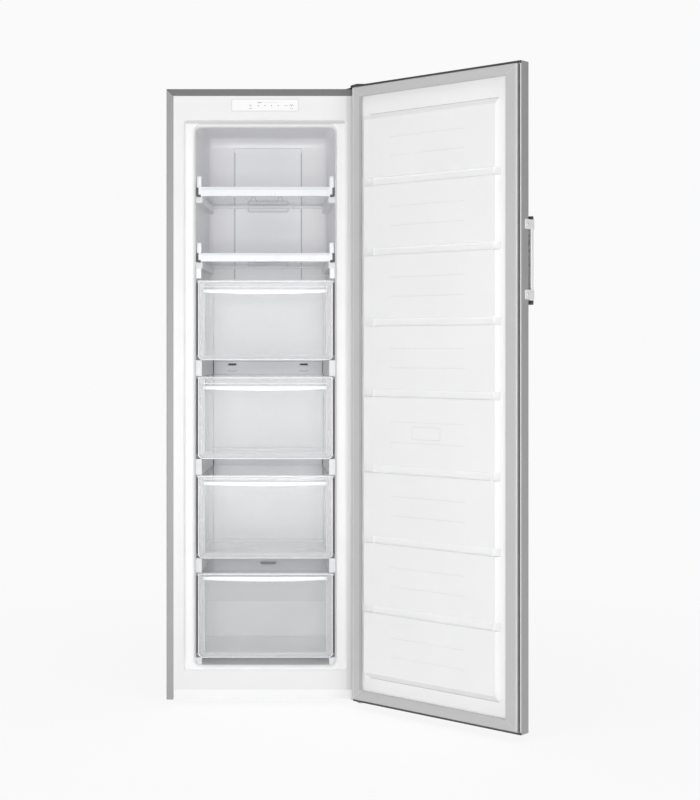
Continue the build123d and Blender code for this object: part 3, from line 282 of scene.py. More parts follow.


# One coated steel in two tones: the cabinet's darker, the door's skin lighter, as painted light and shade.
STEEL = coated_steel("silver_coated_steel", (0.32, 0.32, 0.322), 0.55)
DOOR_STEEL = coated_steel("silver_coated_steel_door", (0.485, 0.485, 0.487), None)
ZINC = metal("zinc_coated_sheet", (0.62, 0.63, 0.64), 0.45, (40.0, 40.0, 40.0), 0.08)
PRESSED = metal("zinc_plated_steel", (0.55, 0.56, 0.57), 0.4, (200.0, 200.0, 200.0))
LINER = moulded("white_formed_liner", (0.885, 0.885, 0.89), 0.36, 0.01)
ROOM = room_liner("white_room_liner")
LINING = moulded("white_door_lining", (0.90, 0.90, 0.905), 0.36, 0.008)
COVER = moulded("white_moulded_cover", (0.905, 0.92, 0.945), 0.45, 0.01)
SHELF = moulded("white_shelf_frame", (0.80, 0.815, 0.83), 0.3)
CLEAR = clear("clear_drawer", (0.94, 0.95, 0.965), 0.10, 0.22, 0.55)
MILKY = clear("milky_drawer_edge", (0.94, 0.945, 0.955), 0.25, 0.22, 0.6)
GLASS = clear("shelf_glass", (0.88, 0.91, 0.93), 0.04, 0.02, 0.14)
GASKET = moulded("grey_gasket", (0.55, 0.55, 0.55), 0.6, 0.01, 500.0, 0.00005)
DARK = moulded("dark_grey_plastic", (0.065, 0.065, 0.068), 0.45, 0.1, 700.0, 0.00006)
HANDLE = metal("silver_handle", (0.88, 0.88, 0.885), 0.4, (300.0, 300.0, 12.0), 0.03, 0.15)
# The brackets are the handle's silver made lighter and without metallic gloss, as painted light.
BRACKET = metal("silver_handle_bracket", (0.95, 0.95, 0.955), 0.45, (300.0, 300.0, 12.0), 0.02, 0.0)
FOAM = moulded("cream_foam", (0.80, 0.70, 0.42), 0.85, 0.12, 300.0, 0.0003, 0.1)
FIN = metal("aluminium_fin", (0.78, 0.79, 0.80), 0.35, (100.0, 100.0, 100.0))
COPPER = metal("drawn_copper", (0.74, 0.40, 0.24), 0.3, (200.0, 200.0, 200.0), 0.12)
ENAMEL = moulded("black_enamel", (0.012, 0.012, 0.012), 0.25, 0.2, 80.0, 0.0001)
BLACK_RUBBER = moulded("black_rubber", (0.02, 0.02, 0.02), 0.75, 0.2, 400.0, 0.0001)
BOARD = moulded("green_board", (0.02, 0.12, 0.05), 0.4, 0.2, 200.0)
LENS = moulded("light_lens", (0.16, 0.17, 0.19), 0.15, 0.05, 300.0)
BUTTON = moulded("button_white", (0.80, 0.80, 0.81), 0.35)
NYLON = moulded("black_nylon", (0.03, 0.03, 0.03), 0.5, 0.15, 500.0, 0.00005)

FINISH = {
    "cabinet_steel": STEEL, "back_steel": ZINC, "frame_steel": PRESSED, "liner_white": LINER,
    "cover_white": COVER, "drawer_clear": CLEAR, "shelf_white": SHELF, "shelf_glass": GLASS,
    "gasket_rubber": GASKET, "dark_plastic": DARK, "handle_metal": HANDLE, "foam": FOAM,
    "fin_metal": FIN, "copper": COPPER, "black_enamel": ENAMEL, "black_rubber": BLACK_RUBBER,
    "board_green": BOARD, "light_lens": LENS, "button_plastic": BUTTON, "roller_plastic": NYLON,
}
for part in frame["record"]["subparts"]:
    piece = nodes[part["node"]]
    piece.data.materials.clear()
    piece.data.materials.append(FINISH[part["material_slot"]])
for name, finish in (("door_skin", DOOR_STEEL), ("control_fascia", LINER), ("inner_liner", ROOM),
                     ("door_liner", LINING), ("handle_brackets", BRACKET)):
    nodes[name].data.materials.clear()
    nodes[name].data.materials.append(finish)


# ------------------------------------------------------------------ detail pieces
INK = moulded("grey_print", (0.30, 0.30, 0.31), 0.5)
PALE_INK = moulded("pale_grey_print", (0.58, 0.58, 0.59), 0.5)
# From here to the end of the list the tones are painted light: the grey lines and dark gaps are painted shade,
# some over real raised lines and seams; the white is a painted highlight; the light grey a painted highlight that
# also marks the gasket's mitres.
GREY_SHADE_LINE = moulded("grey_painted_shade_line", (0.42, 0.43, 0.46), 0.5)
SHADOW_GAP = moulded("dark_painted_shadow", (0.10, 0.10, 0.105), 0.6)
HIGHLIGHT_WHITE = moulded("painted_highlight_white", (0.93, 0.94, 0.95), 0.25, 0.01)
SOFT_SHADE_LINE = moulded("soft_painted_shade_line", (0.78, 0.78, 0.79), 0.5)
PAD_SHADE_LINE = moulded("pad_line", (0.82, 0.82, 0.825), 0.5)
STEP_SHADE = moulded("soft_grey_painted_shade", (0.60, 0.60, 0.605), 0.6)
BAR_SHADE = moulded("shelf_bar_shade", (0.70, 0.715, 0.74), 0.4)
INNER_SHADE = moulded("gasket_inner_shade", (0.44, 0.44, 0.44), 0.6)
BAR_BACK = metal("shaded_handle_back", (0.36, 0.36, 0.365), 0.5, (260.0, 260.0, 150.0), 0.45, 0.1)
HIGHLIGHT_AND_MITRE_GREY = moulded("light_grey_highlight_and_mitre", (0.72, 0.72, 0.72), 0.5)


def front_at(y):
    """Places a flat drawing on a plane that faces forward, in the cabinet's millimetres."""
    return lambda a, b, n: (a, y - n, b)


def rear_at(y):
    """The same on a plane that faces back, as the door's inside does when it is shut."""
    return lambda a, b, n: (a, y + n, b)


def side_at(x):
    """The same on a plane that faces left: along the drawing's first axis lies Y."""
    return lambda a, b, n: (x - n, a, b)


def add_piece(name, body, finish, slot, matrix, verts, faces, smooth=False):
    mesh = bpy.data.meshes.new(name)
    mesh.from_pydata([matrix @ Vector(v) for v in verts], [], faces)
    work = bmesh.new()
    work.from_mesh(mesh)
    bmesh.ops.remove_doubles(work, verts=work.verts, dist=1e-7)
    bmesh.ops.recalc_face_normals(work, faces=work.faces)
    for face in work.faces:
        face.smooth = smooth
    work.to_mesh(mesh)
    work.free()
    mesh.materials.append(finish)
    piece = bpy.data.objects.new(name, mesh)
    bpy.context.scene.collection.objects.link(piece)
    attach(piece, body)


def along(points, closed):
    """Each point of a flat line with the direction to its left, lengthened at a mitre."""
    count = len(points)
    found = []
    for i, here in enumerate(points):
        here = Vector(here)
        before = Vector(points[i - 1]) if closed or i > 0 else None
        after = Vector(points[(i + 1) % count]) if closed or i < count - 1 else None
        sides = []
        if before is not None:
            run = (here - before).normalized()
            sides.append(Vector((-run.y, run.x)))
        if after is not None:
            run = (after - here).normalized()
            sides.append(Vector((-run.y, run.x)))
        mitre = sum(sides, Vector((0.0, 0.0))).normalized()
        found.append((here, mitre / max(0.4, mitre.dot(sides[0]))))
    return found


def strip(points, width, rise, place, closed=False, sunk=0.1):
    """A raised line with sloping sides along flat points, as vertices and faces."""
    section = ((-0.5, -sunk), (-0.28, rise), (0.28, rise), (0.5, -sunk))
    verts = []
    for here, left in along(points, closed):
        for across, height in section:
            spot = here + left * across * width
            verts.append(place(spot.x, spot.y, height))
    faces = []
    count = len(points)
    for i in range(count if closed else count - 1):
        a, b = 4 * i, 4 * ((i + 1) % count)
        for k in range(4):
            faces.append((a + k, a + (k + 1) % 4, b + (k + 1) % 4, b + k))
    if not closed:
        faces.append((0, 1, 2, 3))
        faces.append(tuple(4 * (count - 1) + k for k in (3, 2, 1, 0)))
    return verts, faces


def together(shapes):
    verts, faces = [], []
    for some_verts, some_faces in shapes:
        start = len(verts)
        verts += some_verts
        faces += [tuple(start + k for k in face) for face in some_faces]
    return verts, faces


def rounded(x0, x1, z0, z1, radius, steps=5):
    """The points of a rectangle with round corners."""
    points = []
    for cx, cz, first in ((x1 - radius, z1 - radius, 0), (x0 + radius, z1 - radius, 90),
                          (x0 + radius, z0 + radius, 180), (x1 - radius, z0 + radius, 270)):
        for i in range(steps + 1):
            turn = math.radians(first + 90 * i / steps)
            points.append((cx + radius * math.cos(turn), cz + radius * math.sin(turn)))
    return points


def from_home(node):
    """A cabinet node's limits in the cabinet's millimetres."""
    low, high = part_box(node)
    low, high = (low - HOME) / MM, (high - HOME) / MM
    return low, high


SIDES = (-1, 1)


def flat_line(x0, x1, z):
    return [(x0, z), (x1, z)]


def tall_line(x, z0, z1):
    return [(x, z0), (x, z1)]


def mirrored(left):
    """A path on the left, carried on over its mirror image on the right."""
    return left + [(-x, z) for x, z in reversed(left)]


# Control strip: an edge line, plain marks by the button and the lights, and the button's sign.
EDGE_INSET = 0.8
MARK_ROW = 9.0  # marks stand this far over or under the button's middle
PRINT_RISE = 0.12
FINE_RISE = 0.1
SIGN_RADIUS = 2.3
SIGN_WIDTH = 0.8
strip_low, strip_high = from_home("control_fascia")
button_low, button_high = from_home("control_button")
key_x = (button_low.x + button_high.x) / 2
key_z = (button_low.z + button_high.z) / 2
on_strip = front_at(strip_low.y)
on_button = front_at(button_low.y)
edge = rounded(strip_low.x + EDGE_INSET, strip_high.x - EDGE_INSET,
               strip_low.z + EDGE_INSET, strip_high.z - EDGE_INSET, 2.0)
add_piece("strip_edge_line", "cabinet", PALE_INK, "dark_plastic", CABINET,
          *strip(edge, 1.5, PRINT_RISE, on_strip, True))
STRIP_MARKS = (  # points, counted up from the button's height, and the line's width
    (flat_line(key_x - 4.5, key_x + 4.5, -MARK_ROW), 1.8),
    (flat_line(-24.0, -11.0, MARK_ROW), 2.4),
    (flat_line(56.5, 68.5, 0.0), 1.1),
    ([(73.0, -2.5), (76.0, 3.5), (79.0, -2.5), (82.0, 3.5), (85.0, -2.5)], 1.2),
    (flat_line(74.0, 84.0, -MARK_ROW), 1.2),
)
marks = [strip([(x, key_z + z) for x, z in points], width, PRINT_RISE, on_strip)
         for points, width in STRIP_MARKS]
add_piece("strip_marks", "cabinet", INK, "dark_plastic", CABINET, *together(marks))
add_piece("strip_scale_line", "cabinet", PALE_INK, "dark_plastic", CABINET,
          *strip(flat_line(-9.0, 39.0, key_z + MARK_ROW), 0.9, FINE_RISE, on_strip))
ring = [(key_x + SIGN_RADIUS * math.sin(math.radians(t)), key_z + SIGN_RADIUS * math.cos(math.radians(t)))
        for t in range(35, 326, 29)]
sign = [strip(ring, SIGN_WIDTH, FINE_RISE, on_button),
        strip(tall_line(key_x, key_z + 0.8, key_z + 2.9), SIGN_WIDTH, FINE_RISE, on_button)]
add_piece("button_sign", "control_button", INK, "button_plastic", CABINET, *together(sign))

# Front frame: a soft line of painted shade on both edges of the shallow step round the opening, open at
# its foot, with a painted shade line along the step's top and one round the lip into the room.
RECESS_FLOOR = 8.0  # behind the front plane
STEP_FOOT = 125.0
MID_HEIGHT = 1000.0
STEP_EDGES = (  # half width, top, corner radius, line width, depth
    (246.3, 1761.8, 9.5, 3.0, 0.0),
    (241.8, 1757.3, 6.0, 4.2, RECESS_FLOOR),
)
LIP_X = 193.0  # the middle of the lip's rounded corner
LIP_Z = 1730.0
LIP_RADIUS = 20.5
LIP_FOOT = 140.0
on_recess = front_at(RECESS_FLOOR)
step = []
for half, top, radius, width, depth in STEP_EDGES:
    over = [spot for spot in rounded(-half, half, STEP_FOOT, top, radius) if spot[1] > MID_HEIGHT]
    path = [(half, STEP_FOOT)] + over + [(-half, STEP_FOOT)]
    step.append(strip(path, width, 0.15, front_at(depth)))
add_piece("frame_step_line", "cabinet", SOFT_SHADE_LINE, "liner_white", CABINET, *together(step))
lip_left = [(-LIP_X - LIP_RADIUS, LIP_FOOT)]
for turn in range(0, 91, 15):
    lip_left.append((-LIP_X - LIP_RADIUS * math.cos(math.radians(turn)),
                     LIP_Z + LIP_RADIUS * math.sin(math.radians(turn))))
# Painted shade along the step's top and round the lip.
shades = [strip(flat_line(-240.0, 240.0, 1756.0), 9.0, 0.3, on_recess),
          strip(mirrored(lip_left), 2.0, PRINT_RISE, on_recess)]
add_piece("frame_step_shade", "cabinet", STEP_SHADE, "liner_white", CABINET, *together(shades))

# Wrap: the mitred seams where its front return meets at the top corners, drawn dark as painted shade.
SEAM_OUTER = (295.6, 1853.1)
SEAM_INNER = (277.4, 1834.9)
seams = [strip([(side * x, z) for x, z in (SEAM_OUTER, SEAM_INNER)], 2.6, PRINT_RISE, front_at(0.0))
         for side in SIDES]
add_piece("wrap_mitre_seams", "cabinet", SHADOW_GAP, "cabinet_steel", CABINET, *together(seams))

# Upper back cover: grey lines of painted shade round the vents, their catches, and down each side.
LINE_RISE = 0.3
VENT_HALF_WIDTH = 66.5
VENT_HALF_HEIGHT = 6.5
VENT_CORNER = 6.4
VENT_HEIGHTS = (1529.7, 1553.0, 1351.0)
CATCH = ((-11, 0), (-8, 3), (-6, 13), (4, 13), (8, 3), (11, 0))
CATCH_HEIGHTS = (1559.5, 1357.5)
CATCH_MIDDLES = (-48.0, 41.0)
DUCT_SIDE = 109.4
duct_low, duct_high = from_home("duct_cover")
on_duct = front_at(duct_low.y)
vents = []
for z in VENT_HEIGHTS:
    vent = rounded(-VENT_HALF_WIDTH, VENT_HALF_WIDTH, z - VENT_HALF_HEIGHT, z + VENT_HALF_HEIGHT, VENT_CORNER)
    vents.append(strip(vent, 1.6, LINE_RISE, on_duct, True))
for z in CATCH_HEIGHTS:
    for x in CATCH_MIDDLES:
        vents.append(strip([(x + dx, z + dz) for dx, dz in CATCH], 1.8, LINE_RISE, on_duct))
for side in SIDES:
    path = tall_line(side * DUCT_SIDE, duct_low.z + 12, duct_high.z - 14)
    vents.append(strip(path, 2.6, LINE_RISE, on_duct))
add_piece("vent_lines", "cabinet", GREY_SHADE_LINE, "cover_white", CABINET, *together(vents))

# Lower back cover: rims round the outlets, whitened as a painted highlight, with a bowed line under each,
# level lines, an arc over the return slot, these grey as painted shade; dark throats and side gaps as painted
# shadow.
OUTLET_X = 118.0
OUTLET_HALF_WIDTH = 17.5
OUTLET_BOTTOM = 1014.5
OUTLET_TOP = 1026.5
THROAT_HALF_WIDTH = 12.5
THROAT_Z = 1020.6
THROAT_DEPTH = 1.5
BOW_Z = 1001.0
BOW_DROP = 3.0
BOW_HALF_WIDTH = 15.0
COVER_LINE_HEIGHTS = (1030.5, 985.0, 969.0)
RETURN_ARC = [(-30, 372.0), (-24, 362.0), (0, 358.0), (24, 362.0), (30, 372.0)]
SIDE_GAP_X = 181.3
lower_low, lower_high = from_home("evaporator_cover")
on_lower = front_at(lower_low.y)
rims, cover_lines, throats = [], [], []
for side in SIDES:
    x = side * OUTLET_X
    rim = rounded(x - OUTLET_HALF_WIDTH, x + OUTLET_HALF_WIDTH, OUTLET_BOTTOM, OUTLET_TOP, 4.0)
    rims.append(strip(rim, 3.0, 1.0, on_lower, True))
    bow = [(x + dx, BOW_Z - BOW_DROP * (1 - (dx / BOW_HALF_WIDTH) ** 2))
           for dx in (-15, -10, -5, 0, 5, 10, 15)]
    cover_lines.append(strip(bow, 1.8, LINE_RISE, on_lower))
    throat = flat_line(x - THROAT_HALF_WIDTH, x + THROAT_HALF_WIDTH, THROAT_Z)
    throats.append(strip(throat, 5.4, 0.2, front_at(lower_low.y + THROAT_DEPTH)))
for z in COVER_LINE_HEIGHTS:
    cover_lines.append(strip(flat_line(lower_low.x + 6, lower_high.x - 6, z), 1.2, LINE_RISE, on_lower))
cover_lines.append(strip(RETURN_ARC, 1.6, LINE_RISE, on_lower))
for side in SIDES:
    gap = tall_line(side * SIDE_GAP_X, 420.0, 1280.0)
    throats.append(strip(gap, 3.4, LINE_RISE, front_at(lower_high.y - 5.5)))
add_piece("outlet_rims", "cabinet", HIGHLIGHT_WHITE, "cover_white", CABINET, *together(rims))
add_piece("cover_lines", "cabinet", GREY_SHADE_LINE, "cover_white", CABINET, *together(cover_lines))
add_piece("cover_dark_lines", "cabinet", SHADOW_GAP, "cover_white", CABINET, *together(throats))

# Drawers: the bowed grip, white as a painted highlight; bright edges of the clear wall, painted highlights, and
# its milky edges; faint lines of painted shade; and dark lines of painted shadow at its sides and foot.
GRIP_DROPS = (36.0, 37.0, 27.0, 18.0)  # from each drawer's top down to its grip
GRIP_HALF = 188.0
GRIP_BOW = 5.5
RIM_REACH = 2.0  # from the drawer's foremost point back to its front wall, in two steps
GRIP_REACH = 7.0
WALL_INSET = 6.6  # from the rim's side in to the front wall's side
WALL_CORNER = 15.0
WALL_RISE = 0.25
BAND_INSET = 9.5


def bowed_bar(half, bottom, top, bow, front, back):
    """A bar with a round front edge whose lower side hangs lower in its middle."""
    section = [(back, bottom), (front + 1.5, bottom), (front + 0.4, bottom + 0.6), (front, bottom + 2.0),
               (front, top - 2.0), (front + 0.4, top - 0.6), (front + 1.5, top), (back, top)]
    hanging = (1.0, 1.0, 1.0, 1.0, 0.15, 0.0, 0.0, 0.0)
    verts, faces = [], []
    steps = 24
    size = len(section)
    for i in range(steps + 1):
        x = -half + 2 * half * i / steps
        drop = bow * (1 - (x / half) ** 2)
        verts += [(x, y, z - drop * share) for (y, z), share in zip(section, hanging)]
    for i in range(steps):
        a, b = size * i, size * (i + 1)
        faces += [(a + k, a + (k + 1) % size, b + (k + 1) % size, b + k) for k in range(size)]
    faces.append(tuple(range(size)))
    faces.append(tuple(size * steps + k for k in reversed(range(size))))
    return verts, faces


def dress_drawer(node, grip_drop):
    low, high = from_home(node)
    front = low.y + RIM_REACH + GRIP_REACH
    face = front_at(front)
    half = (high.x - low.x) / 2 - WALL_INSET
    grip_z = high.z - grip_drop
    # The grip is coloured white as a painted highlight on the clear drawer.
    bar = bowed_bar(GRIP_HALF, grip_z - 1.6, grip_z + 8.0, GRIP_BOW, front - 9.3, front - 0.2)
    add_piece(f"{node}_grip", node, HIGHLIGHT_WHITE, "drawer_clear", CABINET, *bar, smooth=True)

    left = [(-half, high.z - 5.0)]
    for turn in range(90, -1, -15):
        left.append((-half + WALL_CORNER - WALL_CORNER * math.sin(math.radians(turn)),
                     low.z + 16 - WALL_CORNER * math.cos(math.radians(turn))))
    # Bright edges: painted highlights.
    lines = [
        strip(mirrored(left), 2.4, WALL_RISE, face),
        strip(flat_line(-half, half, high.z - 4.2), 1.6, WALL_RISE, face),
        strip(flat_line(-half + 14, half - 14, grip_z + 16), 1.4, WALL_RISE, face),
    ]
    add_piece(f"{node}_bright_edges", node, HIGHLIGHT_WHITE, "drawer_clear", CABINET, *together(lines))

    band = rounded(-half + BAND_INSET, half - BAND_INSET, low.z + BAND_INSET, high.z + 30.0, 11.0)
    band = [spot for spot in band if spot[1] < high.z - 20.0]
    band = [(-half + BAND_INSET, high.z - 8.0)] + band + [(half - BAND_INSET, high.z - 8.0)]
    add_piece(f"{node}_milky_rim", node, MILKY, "drawer_clear", CABINET,
              *strip(band, 15.0, 0.12, face, sunk=0.05))

    # Faint lines of painted shade.
    faint = [strip(tall_line(side * (half - 17.5), high.z - 6, low.z + 22), 1.2, 0.2, face) for side in SIDES]
    add_piece(f"{node}_faint_edges", node, SOFT_SHADE_LINE, "drawer_clear", CABINET, *together(faint))

    # Painted shadow: dark lines in the gaps beside the drawer and under its front.
    dark = [strip(tall_line(side * (half + 3.4), high.z - 8, low.z + 14), 6.2, 0.2, face) for side in SIDES]
    dark.append(strip(flat_line(-half + 12, half - 12, low.z + 0.6), 1.6, 0.2, face))
    add_piece(f"{node}_side_shadows", node, SHADOW_GAP, "drawer_clear", CABINET, *together(dark))


for number, grip_drop in enumerate(GRIP_DROPS, 1):
    dress_drawer(f"drawer_{number}", grip_drop)

# Liner: a stop block on each wall over the top drawer's rim.
STOP_SPANS = ((-210.0, -194.5), (194.5, 210.0))
STOP_FRONT, STOP_BACK = 24.0, 70.0
STOP_BOTTOM, STOP_TOP = 1285.0, 1317.5
STOP_EDGE = 2.0


def bevelled_box(x0, x1, y0, y1, z0, z1, edge):
    """A block with its front edges cut back."""
    rings = ((y0, edge), (y0 + edge, 0.0), (y1, 0.0))
    verts, faces = [], []
    for y, cut in rings:
        verts += [(x0 + cut, y, z0 + cut), (x1 - cut, y, z0 + cut)]
        verts += [(x1 - cut, y, z1 - cut), (x0 + cut, y, z1 - cut)]
    for level in (0, 4):
        faces += [(level + k, level + (k + 1) % 4, level + 4 + (k + 1) % 4, level + 4 + k) for k in range(4)]
    faces += [(0, 1, 2, 3), (8, 9, 10, 11)]
    return verts, faces


stops = [bevelled_box(x0, x1, STOP_FRONT, STOP_BACK, STOP_BOTTOM, STOP_TOP, STOP_EDGE)
         for x0, x1 in STOP_SPANS]
add_piece("drawer_stops", "cabinet", LINER, "liner_white", CABINET, *together(stops))

# Shelves: a dark hook of painted shadow beside and under each end of the front bar, and a band of painted shade
# along it.
HOOK_AHEAD = 0.02
HOOK_WIDTH = 7.0
BAND_HALF_WIDTH = 192.0
BAND_HEIGHT = 22.5  # over the bar's foot


def dress_shelf(shelf):
    low, high = from_home(f"{shelf}_frame")
    on_hook = front_at(low.y - HOOK_AHEAD)
    edge = (high.x - low.x) / 2 - 1.0
    shadow_hooks = []
    for side in SIDES:
        path = [(side * edge, low.z + 26.0), (side * edge, low.z + 4.0), (side * (edge - 1.2), low.z + 1.4),
                (side * (edge - 4.0), low.z + 0.6), (side * (edge - 10.0), low.z + 0.8)]
        shadow_hooks.append(strip(path, HOOK_WIDTH, 0.8, on_hook))
        tip = [(side * (edge - 3.5), low.z + 2.0), (side * (edge - 10.0), low.z + 2.2)]
        shadow_hooks.append(strip(tip, HOOK_WIDTH, 0.9, on_hook))
    add_piece(f"{shelf}_guards", shelf, SHADOW_GAP, "dark_plastic", CABINET, *together(shadow_hooks))
    band = flat_line(-BAND_HALF_WIDTH, BAND_HALF_WIDTH, low.z + BAND_HEIGHT)
    add_piece(f"{shelf}_bar_shade", shelf, BAR_SHADE, "shelf_white", CABINET,
              *strip(band, 8.0, 0.2, front_at(low.y)))


for shelf in ("shelf_1", "shelf_2"):
    dress_shelf(shelf)

# Door lining: two faint raised lines on each pad and a bare label outline, greyed as painted shade;
# a dark line of painted shadow down the free edge and the door's dark end cap along the top;
# and a line of painted shade at the pads' top and bottom.
DOOR_BACK = -10.0
PAD_FACE = 5.0
PAD_EDGES = (1764.0, 1563.0, 1357.5, 1150.0, 943.0, 720.5, 513.0, 307.5, 102.0)
PAD_LINE_SHARES = (0.37, 0.64)  # of a pad's height, from its top
on_pad = rear_at(PAD_FACE)
on_door = rear_at(DOOR_BACK)
raised = []
for top, bottom in zip(PAD_EDGES, PAD_EDGES[1:]):
    for share in PAD_LINE_SHARES:
        z = top - share * (top - bottom)
        raised.append(strip(flat_line(-122.0, 144.0, z), 2.2, 0.35, on_pad))
add_piece("pad_lines", "door", PAD_SHADE_LINE, "liner_white", DOOR, *together(raised))
label = strip(rounded(-36.0, 64.0, 812.0, 848.0, 6.0), 2.2, 0.45, on_pad, True)
add_piece("blank_label_outline", "door", SOFT_SHADE_LINE, "liner_white", DOOR, *label)
door_low, door_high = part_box("door_skin")
z0, z1 = door_low.z / MM, door_high.z / MM
# Painted shadow down the free edge; the dark end cap along the top.
seam = [strip(tall_line(-292.3, z0 + 9.0, z1 - 9.0), 6.6, 1.2, on_door),
        strip(flat_line(-290.0, 288.0, z1 - 9.4), 3.0, 0.5, on_door)]
add_piece("door_edge_shadow_and_cap", "door", SHADOW_GAP, "dark_plastic", DOOR, *together(seam))
# Painted shade at the pads' top and bottom.
painted_end_shade = [strip(flat_line(-226.0, 230.0, 1765.0), 2.6, 0.3, on_door),
        strip(flat_line(-226.0, 230.0, 100.5), 3.2, 0.3, on_door)]
add_piece("pad_end_shade_lines", "door", STEP_SHADE, "liner_white", DOOR, *together(painted_end_shade))

# Gasket: a painted highlight along both long sides, a darker band of painted shade inside the hinge side, mitred
# corners.
GASKET_FACE = -1.1
HIGHLIGHT_INSET = 12.0
on_gasket = rear_at(GASKET_FACE)
# Painted highlights along both long sides.
lip = strip(tall_line(289.3, z0 + HIGHLIGHT_INSET, z1 - HIGHLIGHT_INSET), 2.4, 0.25, on_gasket)
add_piece("gasket_hinge_highlight", "door", HIGHLIGHT_AND_MITRE_GREY, "gasket_rubber", DOOR, *lip)
free_lip = strip(tall_line(-288.0, z0 + HIGHLIGHT_INSET, z1 - HIGHLIGHT_INSET), 2.2, 0.15, on_gasket)
add_piece("gasket_free_highlight", "door", HIGHLIGHT_WHITE, "gasket_rubber", DOOR, *free_lip)
# Painted shade inside the hinge side.
inner_shade = strip(tall_line(262.0, z0 + 40.0, z1 - 40.0), 8.6, 0.15, on_gasket)
add_piece("gasket_inner_shade", "door", INNER_SHADE, "gasket_rubber", DOOR, *inner_shade)
mitres = []
for outer_x, inner_x in ((-286.5, -255.5), (290.0, 264.5)):
    for outer_z, inner_z in ((z0 + 11.5, z0 + 35.0), (z1 - 11.5, z1 - 35.0)):
        mitres.append(strip([(outer_x, outer_z), (inner_x, inner_z)], 1.1, PRINT_RISE, on_gasket))
add_piece("gasket_mitres", "door", HIGHLIGHT_AND_MITRE_GREY, "gasket_rubber", DOOR, *together(mitres))

# Handle: the screws' slots, the bar's shaded back, and a dark sleeve at each end of the bar.
PLATE_X = -302.1
SCREW_HEIGHTS = (1414.5, 1221.5)
HANDLE_MIDDLE = 1315.5
BAR_X, BAR_Y = -291.75, -67.5
BAR_CORNER = 3.6
on_plate = side_at(PLATE_X)
slots = [strip([(-42.3, z + 2.2), (-39.7, z), (-42.3, z - 2.2)], 0.8, PRINT_RISE, on_plate)
         for z in SCREW_HEIGHTS]
add_piece("handle_screw_slots", "door", INK, "dark_plastic", DOOR, *together(slots))
back = strip(tall_line(-289.6, 1235.0, 1401.0), 9.4, PRINT_RISE, rear_at(-63.0))
add_piece("handle_bar_back", "door", BAR_BACK, "handle_metal", DOOR, *back)


def sleeve(z_low, z_high):
    """A thin sleeve round the bar, closed at its far end."""
    outline = [(BAR_X + x, BAR_Y + y) for x, y in rounded(-7.25, 7.25, -4.75, 4.75, BAR_CORNER)]
    shrunk = [(BAR_X + x, BAR_Y + y) for x, y in rounded(-5.8, 5.8, -3.3, 3.3, 2.2)]
    size = len(outline)
    rings = ((outline, z_low), (outline, z_high - 0.8), (shrunk, z_high))
    verts = [(x, y, z) for ring, z in rings for x, y in ring]
    faces = []
    for level in (0, 1):
        a = size * level
        faces += [(a + k, a + (k + 1) % size, a + size + (k + 1) % size, a + size + k) for k in range(size)]
    faces.append(tuple(range(size)))
    faces.append(tuple(2 * size + k for k in range(size)))
    return verts, faces


def upended(shape, about):
    verts, faces = shape
    return [(x, y, 2 * about - z) for x, y, z in verts], faces


sleeves = [sleeve(1428.2, 1437.2), upended(sleeve(1425.4, 1437.2), HANDLE_MIDDLE)]
add_piece("handle_sleeves", "door", DARK, "dark_plastic", DOOR, *together(sleeves), smooth=True)


# ------------------------------------------------------------------ stage, light and camera
def stage_mesh(name, points, faces):
    mesh = bpy.data.meshes.new(name)
    mesh.from_pydata(points, [], faces)
    piece = bpy.data.objects.new(name, mesh)
    bpy.context.scene.collection.objects.link(piece)
    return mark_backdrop(piece) or piece


def pale_floor():
    """Pale ground: as bright as the backdrop further off, and near the freezer partly lit by the lamps."""
    mat, tree, shader = new_material("pale_floor")
    shader.inputs["Roughness"].default_value = 0.9
    shader.inputs["Specular IOR Level"].default_value = 0.0
    place = texture_place(tree)
    tone = ramp(tree, noise(tree, place, 2.0), 0.0, 1.0)
    tree.links.new(tint(tree, tone, (0.88, 0.88, 0.88), (0.90, 0.90, 0.90)), shader.inputs["Base Color"])
    near = tree.nodes.new("ShaderNodeTexGradient")
    near.gradient_type = "SPHERICAL"
    tree.links.new(texture_place(tree, (0.45, 0.45, 1.0)), near.inputs["Vector"])
    shadow = ramp(tree, near.outputs["Fac"], 1.0, 0.86, 0.0, 0.8)
    path = tree.nodes.new("ShaderNodeLightPath")
    seen = maths(tree, "MAXIMUM", path.outputs["Is Camera Ray"], path.outputs["Is Glossy Ray"])
    seen = maths(tree, "MAXIMUM", seen, path.outputs["Is Transmission Ray"])
    glow = tree.nodes.new("ShaderNodeEmission")
    glow.inputs["Color"].default_value = (1.0, 1.0, 1.0, 1.0)
    lacking = maths(tree, "DIVIDE", BACKDROP - FLOOR_LIT, shadow)
    tree.links.new(maths(tree, "ADD", lacking, FLOOR_LIT), glow.inputs["Strength"])
    share = maths(tree, "MULTIPLY", seen, shadow)
    mix = tree.nodes.new("ShaderNodeMixShader")
    tree.links.new(share, mix.inputs["Fac"])
    tree.links.new(shader.outputs["BSDF"], mix.inputs[1])
    tree.links.new(glow.outputs["Emission"], mix.inputs[2])
    tree.links.new(mix.outputs["Shader"], tree.nodes["Material Output"].inputs["Surface"])
    return mat


def set_world():
    world = bpy.data.worlds.new("studio")
    bpy.context.scene.world = world
    world.use_nodes = True
    tree = world.node_tree
    back = tree.nodes["Background"]
    back.inputs["Color"].default_value = (1.0, 1.0, 1.0, 1.0)
    back.inputs["Strength"].default_value = WORLD_LIGHT
    white = tree.nodes.new("ShaderNodeBackground")
    white.inputs["Color"].default_value = (BACKDROP, BACKDROP, BACKDROP, 1.0)
    path = tree.nodes.new("ShaderNodeLightPath")
    mix = tree.nodes.new("ShaderNodeMixShader")
    tree.links.new(path.outputs["Is Camera Ray"], mix.inputs["Fac"])
    tree.links.new(back.outputs["Background"], mix.inputs[1])
    tree.links.new(white.outputs["Background"], mix.inputs[2])
    tree.links.new(mix.outputs["Shader"], tree.nodes["World Output"].inputs["Surface"])


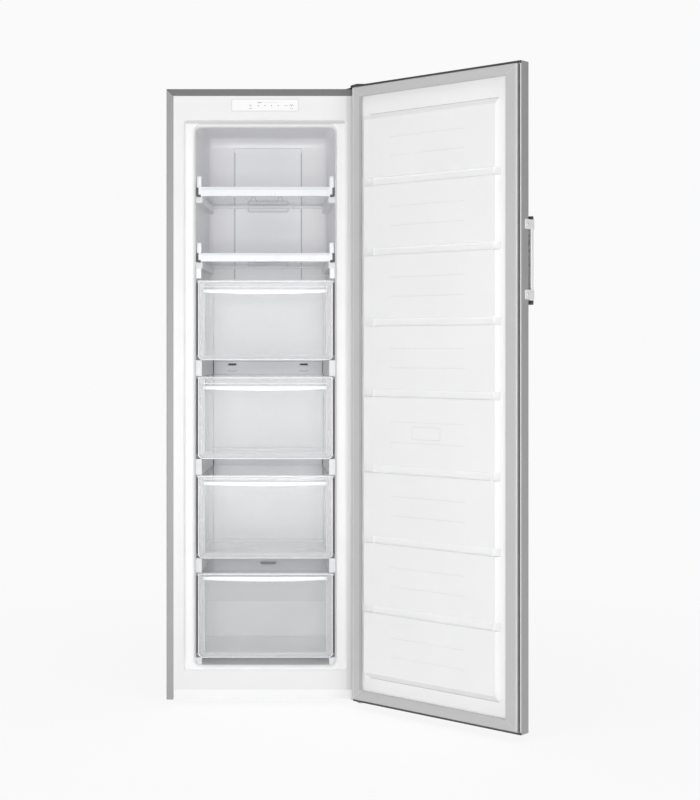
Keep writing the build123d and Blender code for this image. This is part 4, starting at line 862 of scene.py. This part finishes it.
def lamp(name, place, target, size, power):
    light = bpy.data.lights.new(name, "AREA")
    light.shape = "RECTANGLE"
    light.size, light.size_y = size
    light.energy = power
    thing = bpy.data.objects.new(name, light)
    bpy.context.scene.collection.objects.link(thing)
    thing.location = place
    thing.rotation_euler = (Vector(target) - Vector(place)).to_track_quat("-Z", "Y").to_euler()


WORLD_LIGHT = 0.17
BACKDROP = 0.955  # how bright the floor and the space behind look
FLOOR_LIT = 0.47  # what the lamps alone give the floor away from the freezer
set_world()
floor = stage_mesh("floor", [(-40, -20, 0), (40, -20, 0), (40, 60, 0), (-40, 60, 0)], [(0, 1, 2, 3)])
floor.data.materials.append(pale_floor())
lamp("front", (-0.3, -6.0, 0.88), (-0.1, 0.0, 0.88), (2.8, 1.7), 122.0)
lamp("low", (-0.25, -3.4, 0.25), (-0.25, 0.2, 1.55), (1.6, 0.45), 13.0)
lamp("left", (-3.3, -3.2, 1.1), (0.1, 0.0, 0.9), (1.8, 2.0), 33.0)
lamp("right", (3.4, -4.2, 1.2), (0.4, 0.0, 0.9), (1.6, 2.0), 32.0)
lamp("top", (-0.2, -1.2, 4.2), (-0.1, 0.1, 0.9), (2.4, 2.0), 32.0)

# The camera fitted to the photograph, in pixels of its 700 x 800 picture.
FOCAL_LENGTH = 1494.0
PICTURE_HEIGHT = 800.0
PICTURE_MIDDLE = (350.0, 400.0)
VANISHING_POINT = (297.5, 347.3)
SENSOR = 36.0
camera = bpy.data.cameras.new("camera")
camera.sensor_width = SENSOR
camera.lens = FOCAL_LENGTH * SENSOR / PICTURE_HEIGHT
camera.shift_x = (PICTURE_MIDDLE[0] - VANISHING_POINT[0]) / PICTURE_HEIGHT
camera.shift_y = (VANISHING_POINT[1] - PICTURE_MIDDLE[1]) / PICTURE_HEIGHT
camera.clip_end = 200.0
eye = bpy.data.objects.new("camera", camera)
bpy.context.scene.collection.objects.link(eye)
eye.location = HOME + Vector((0.097, -4.5, 1.077))
eye.rotation_euler = (math.radians(90.0), 0.0, 0.0)
bpy.context.scene.camera = eye
bpy.context.scene.view_settings.view_transform = "Standard"
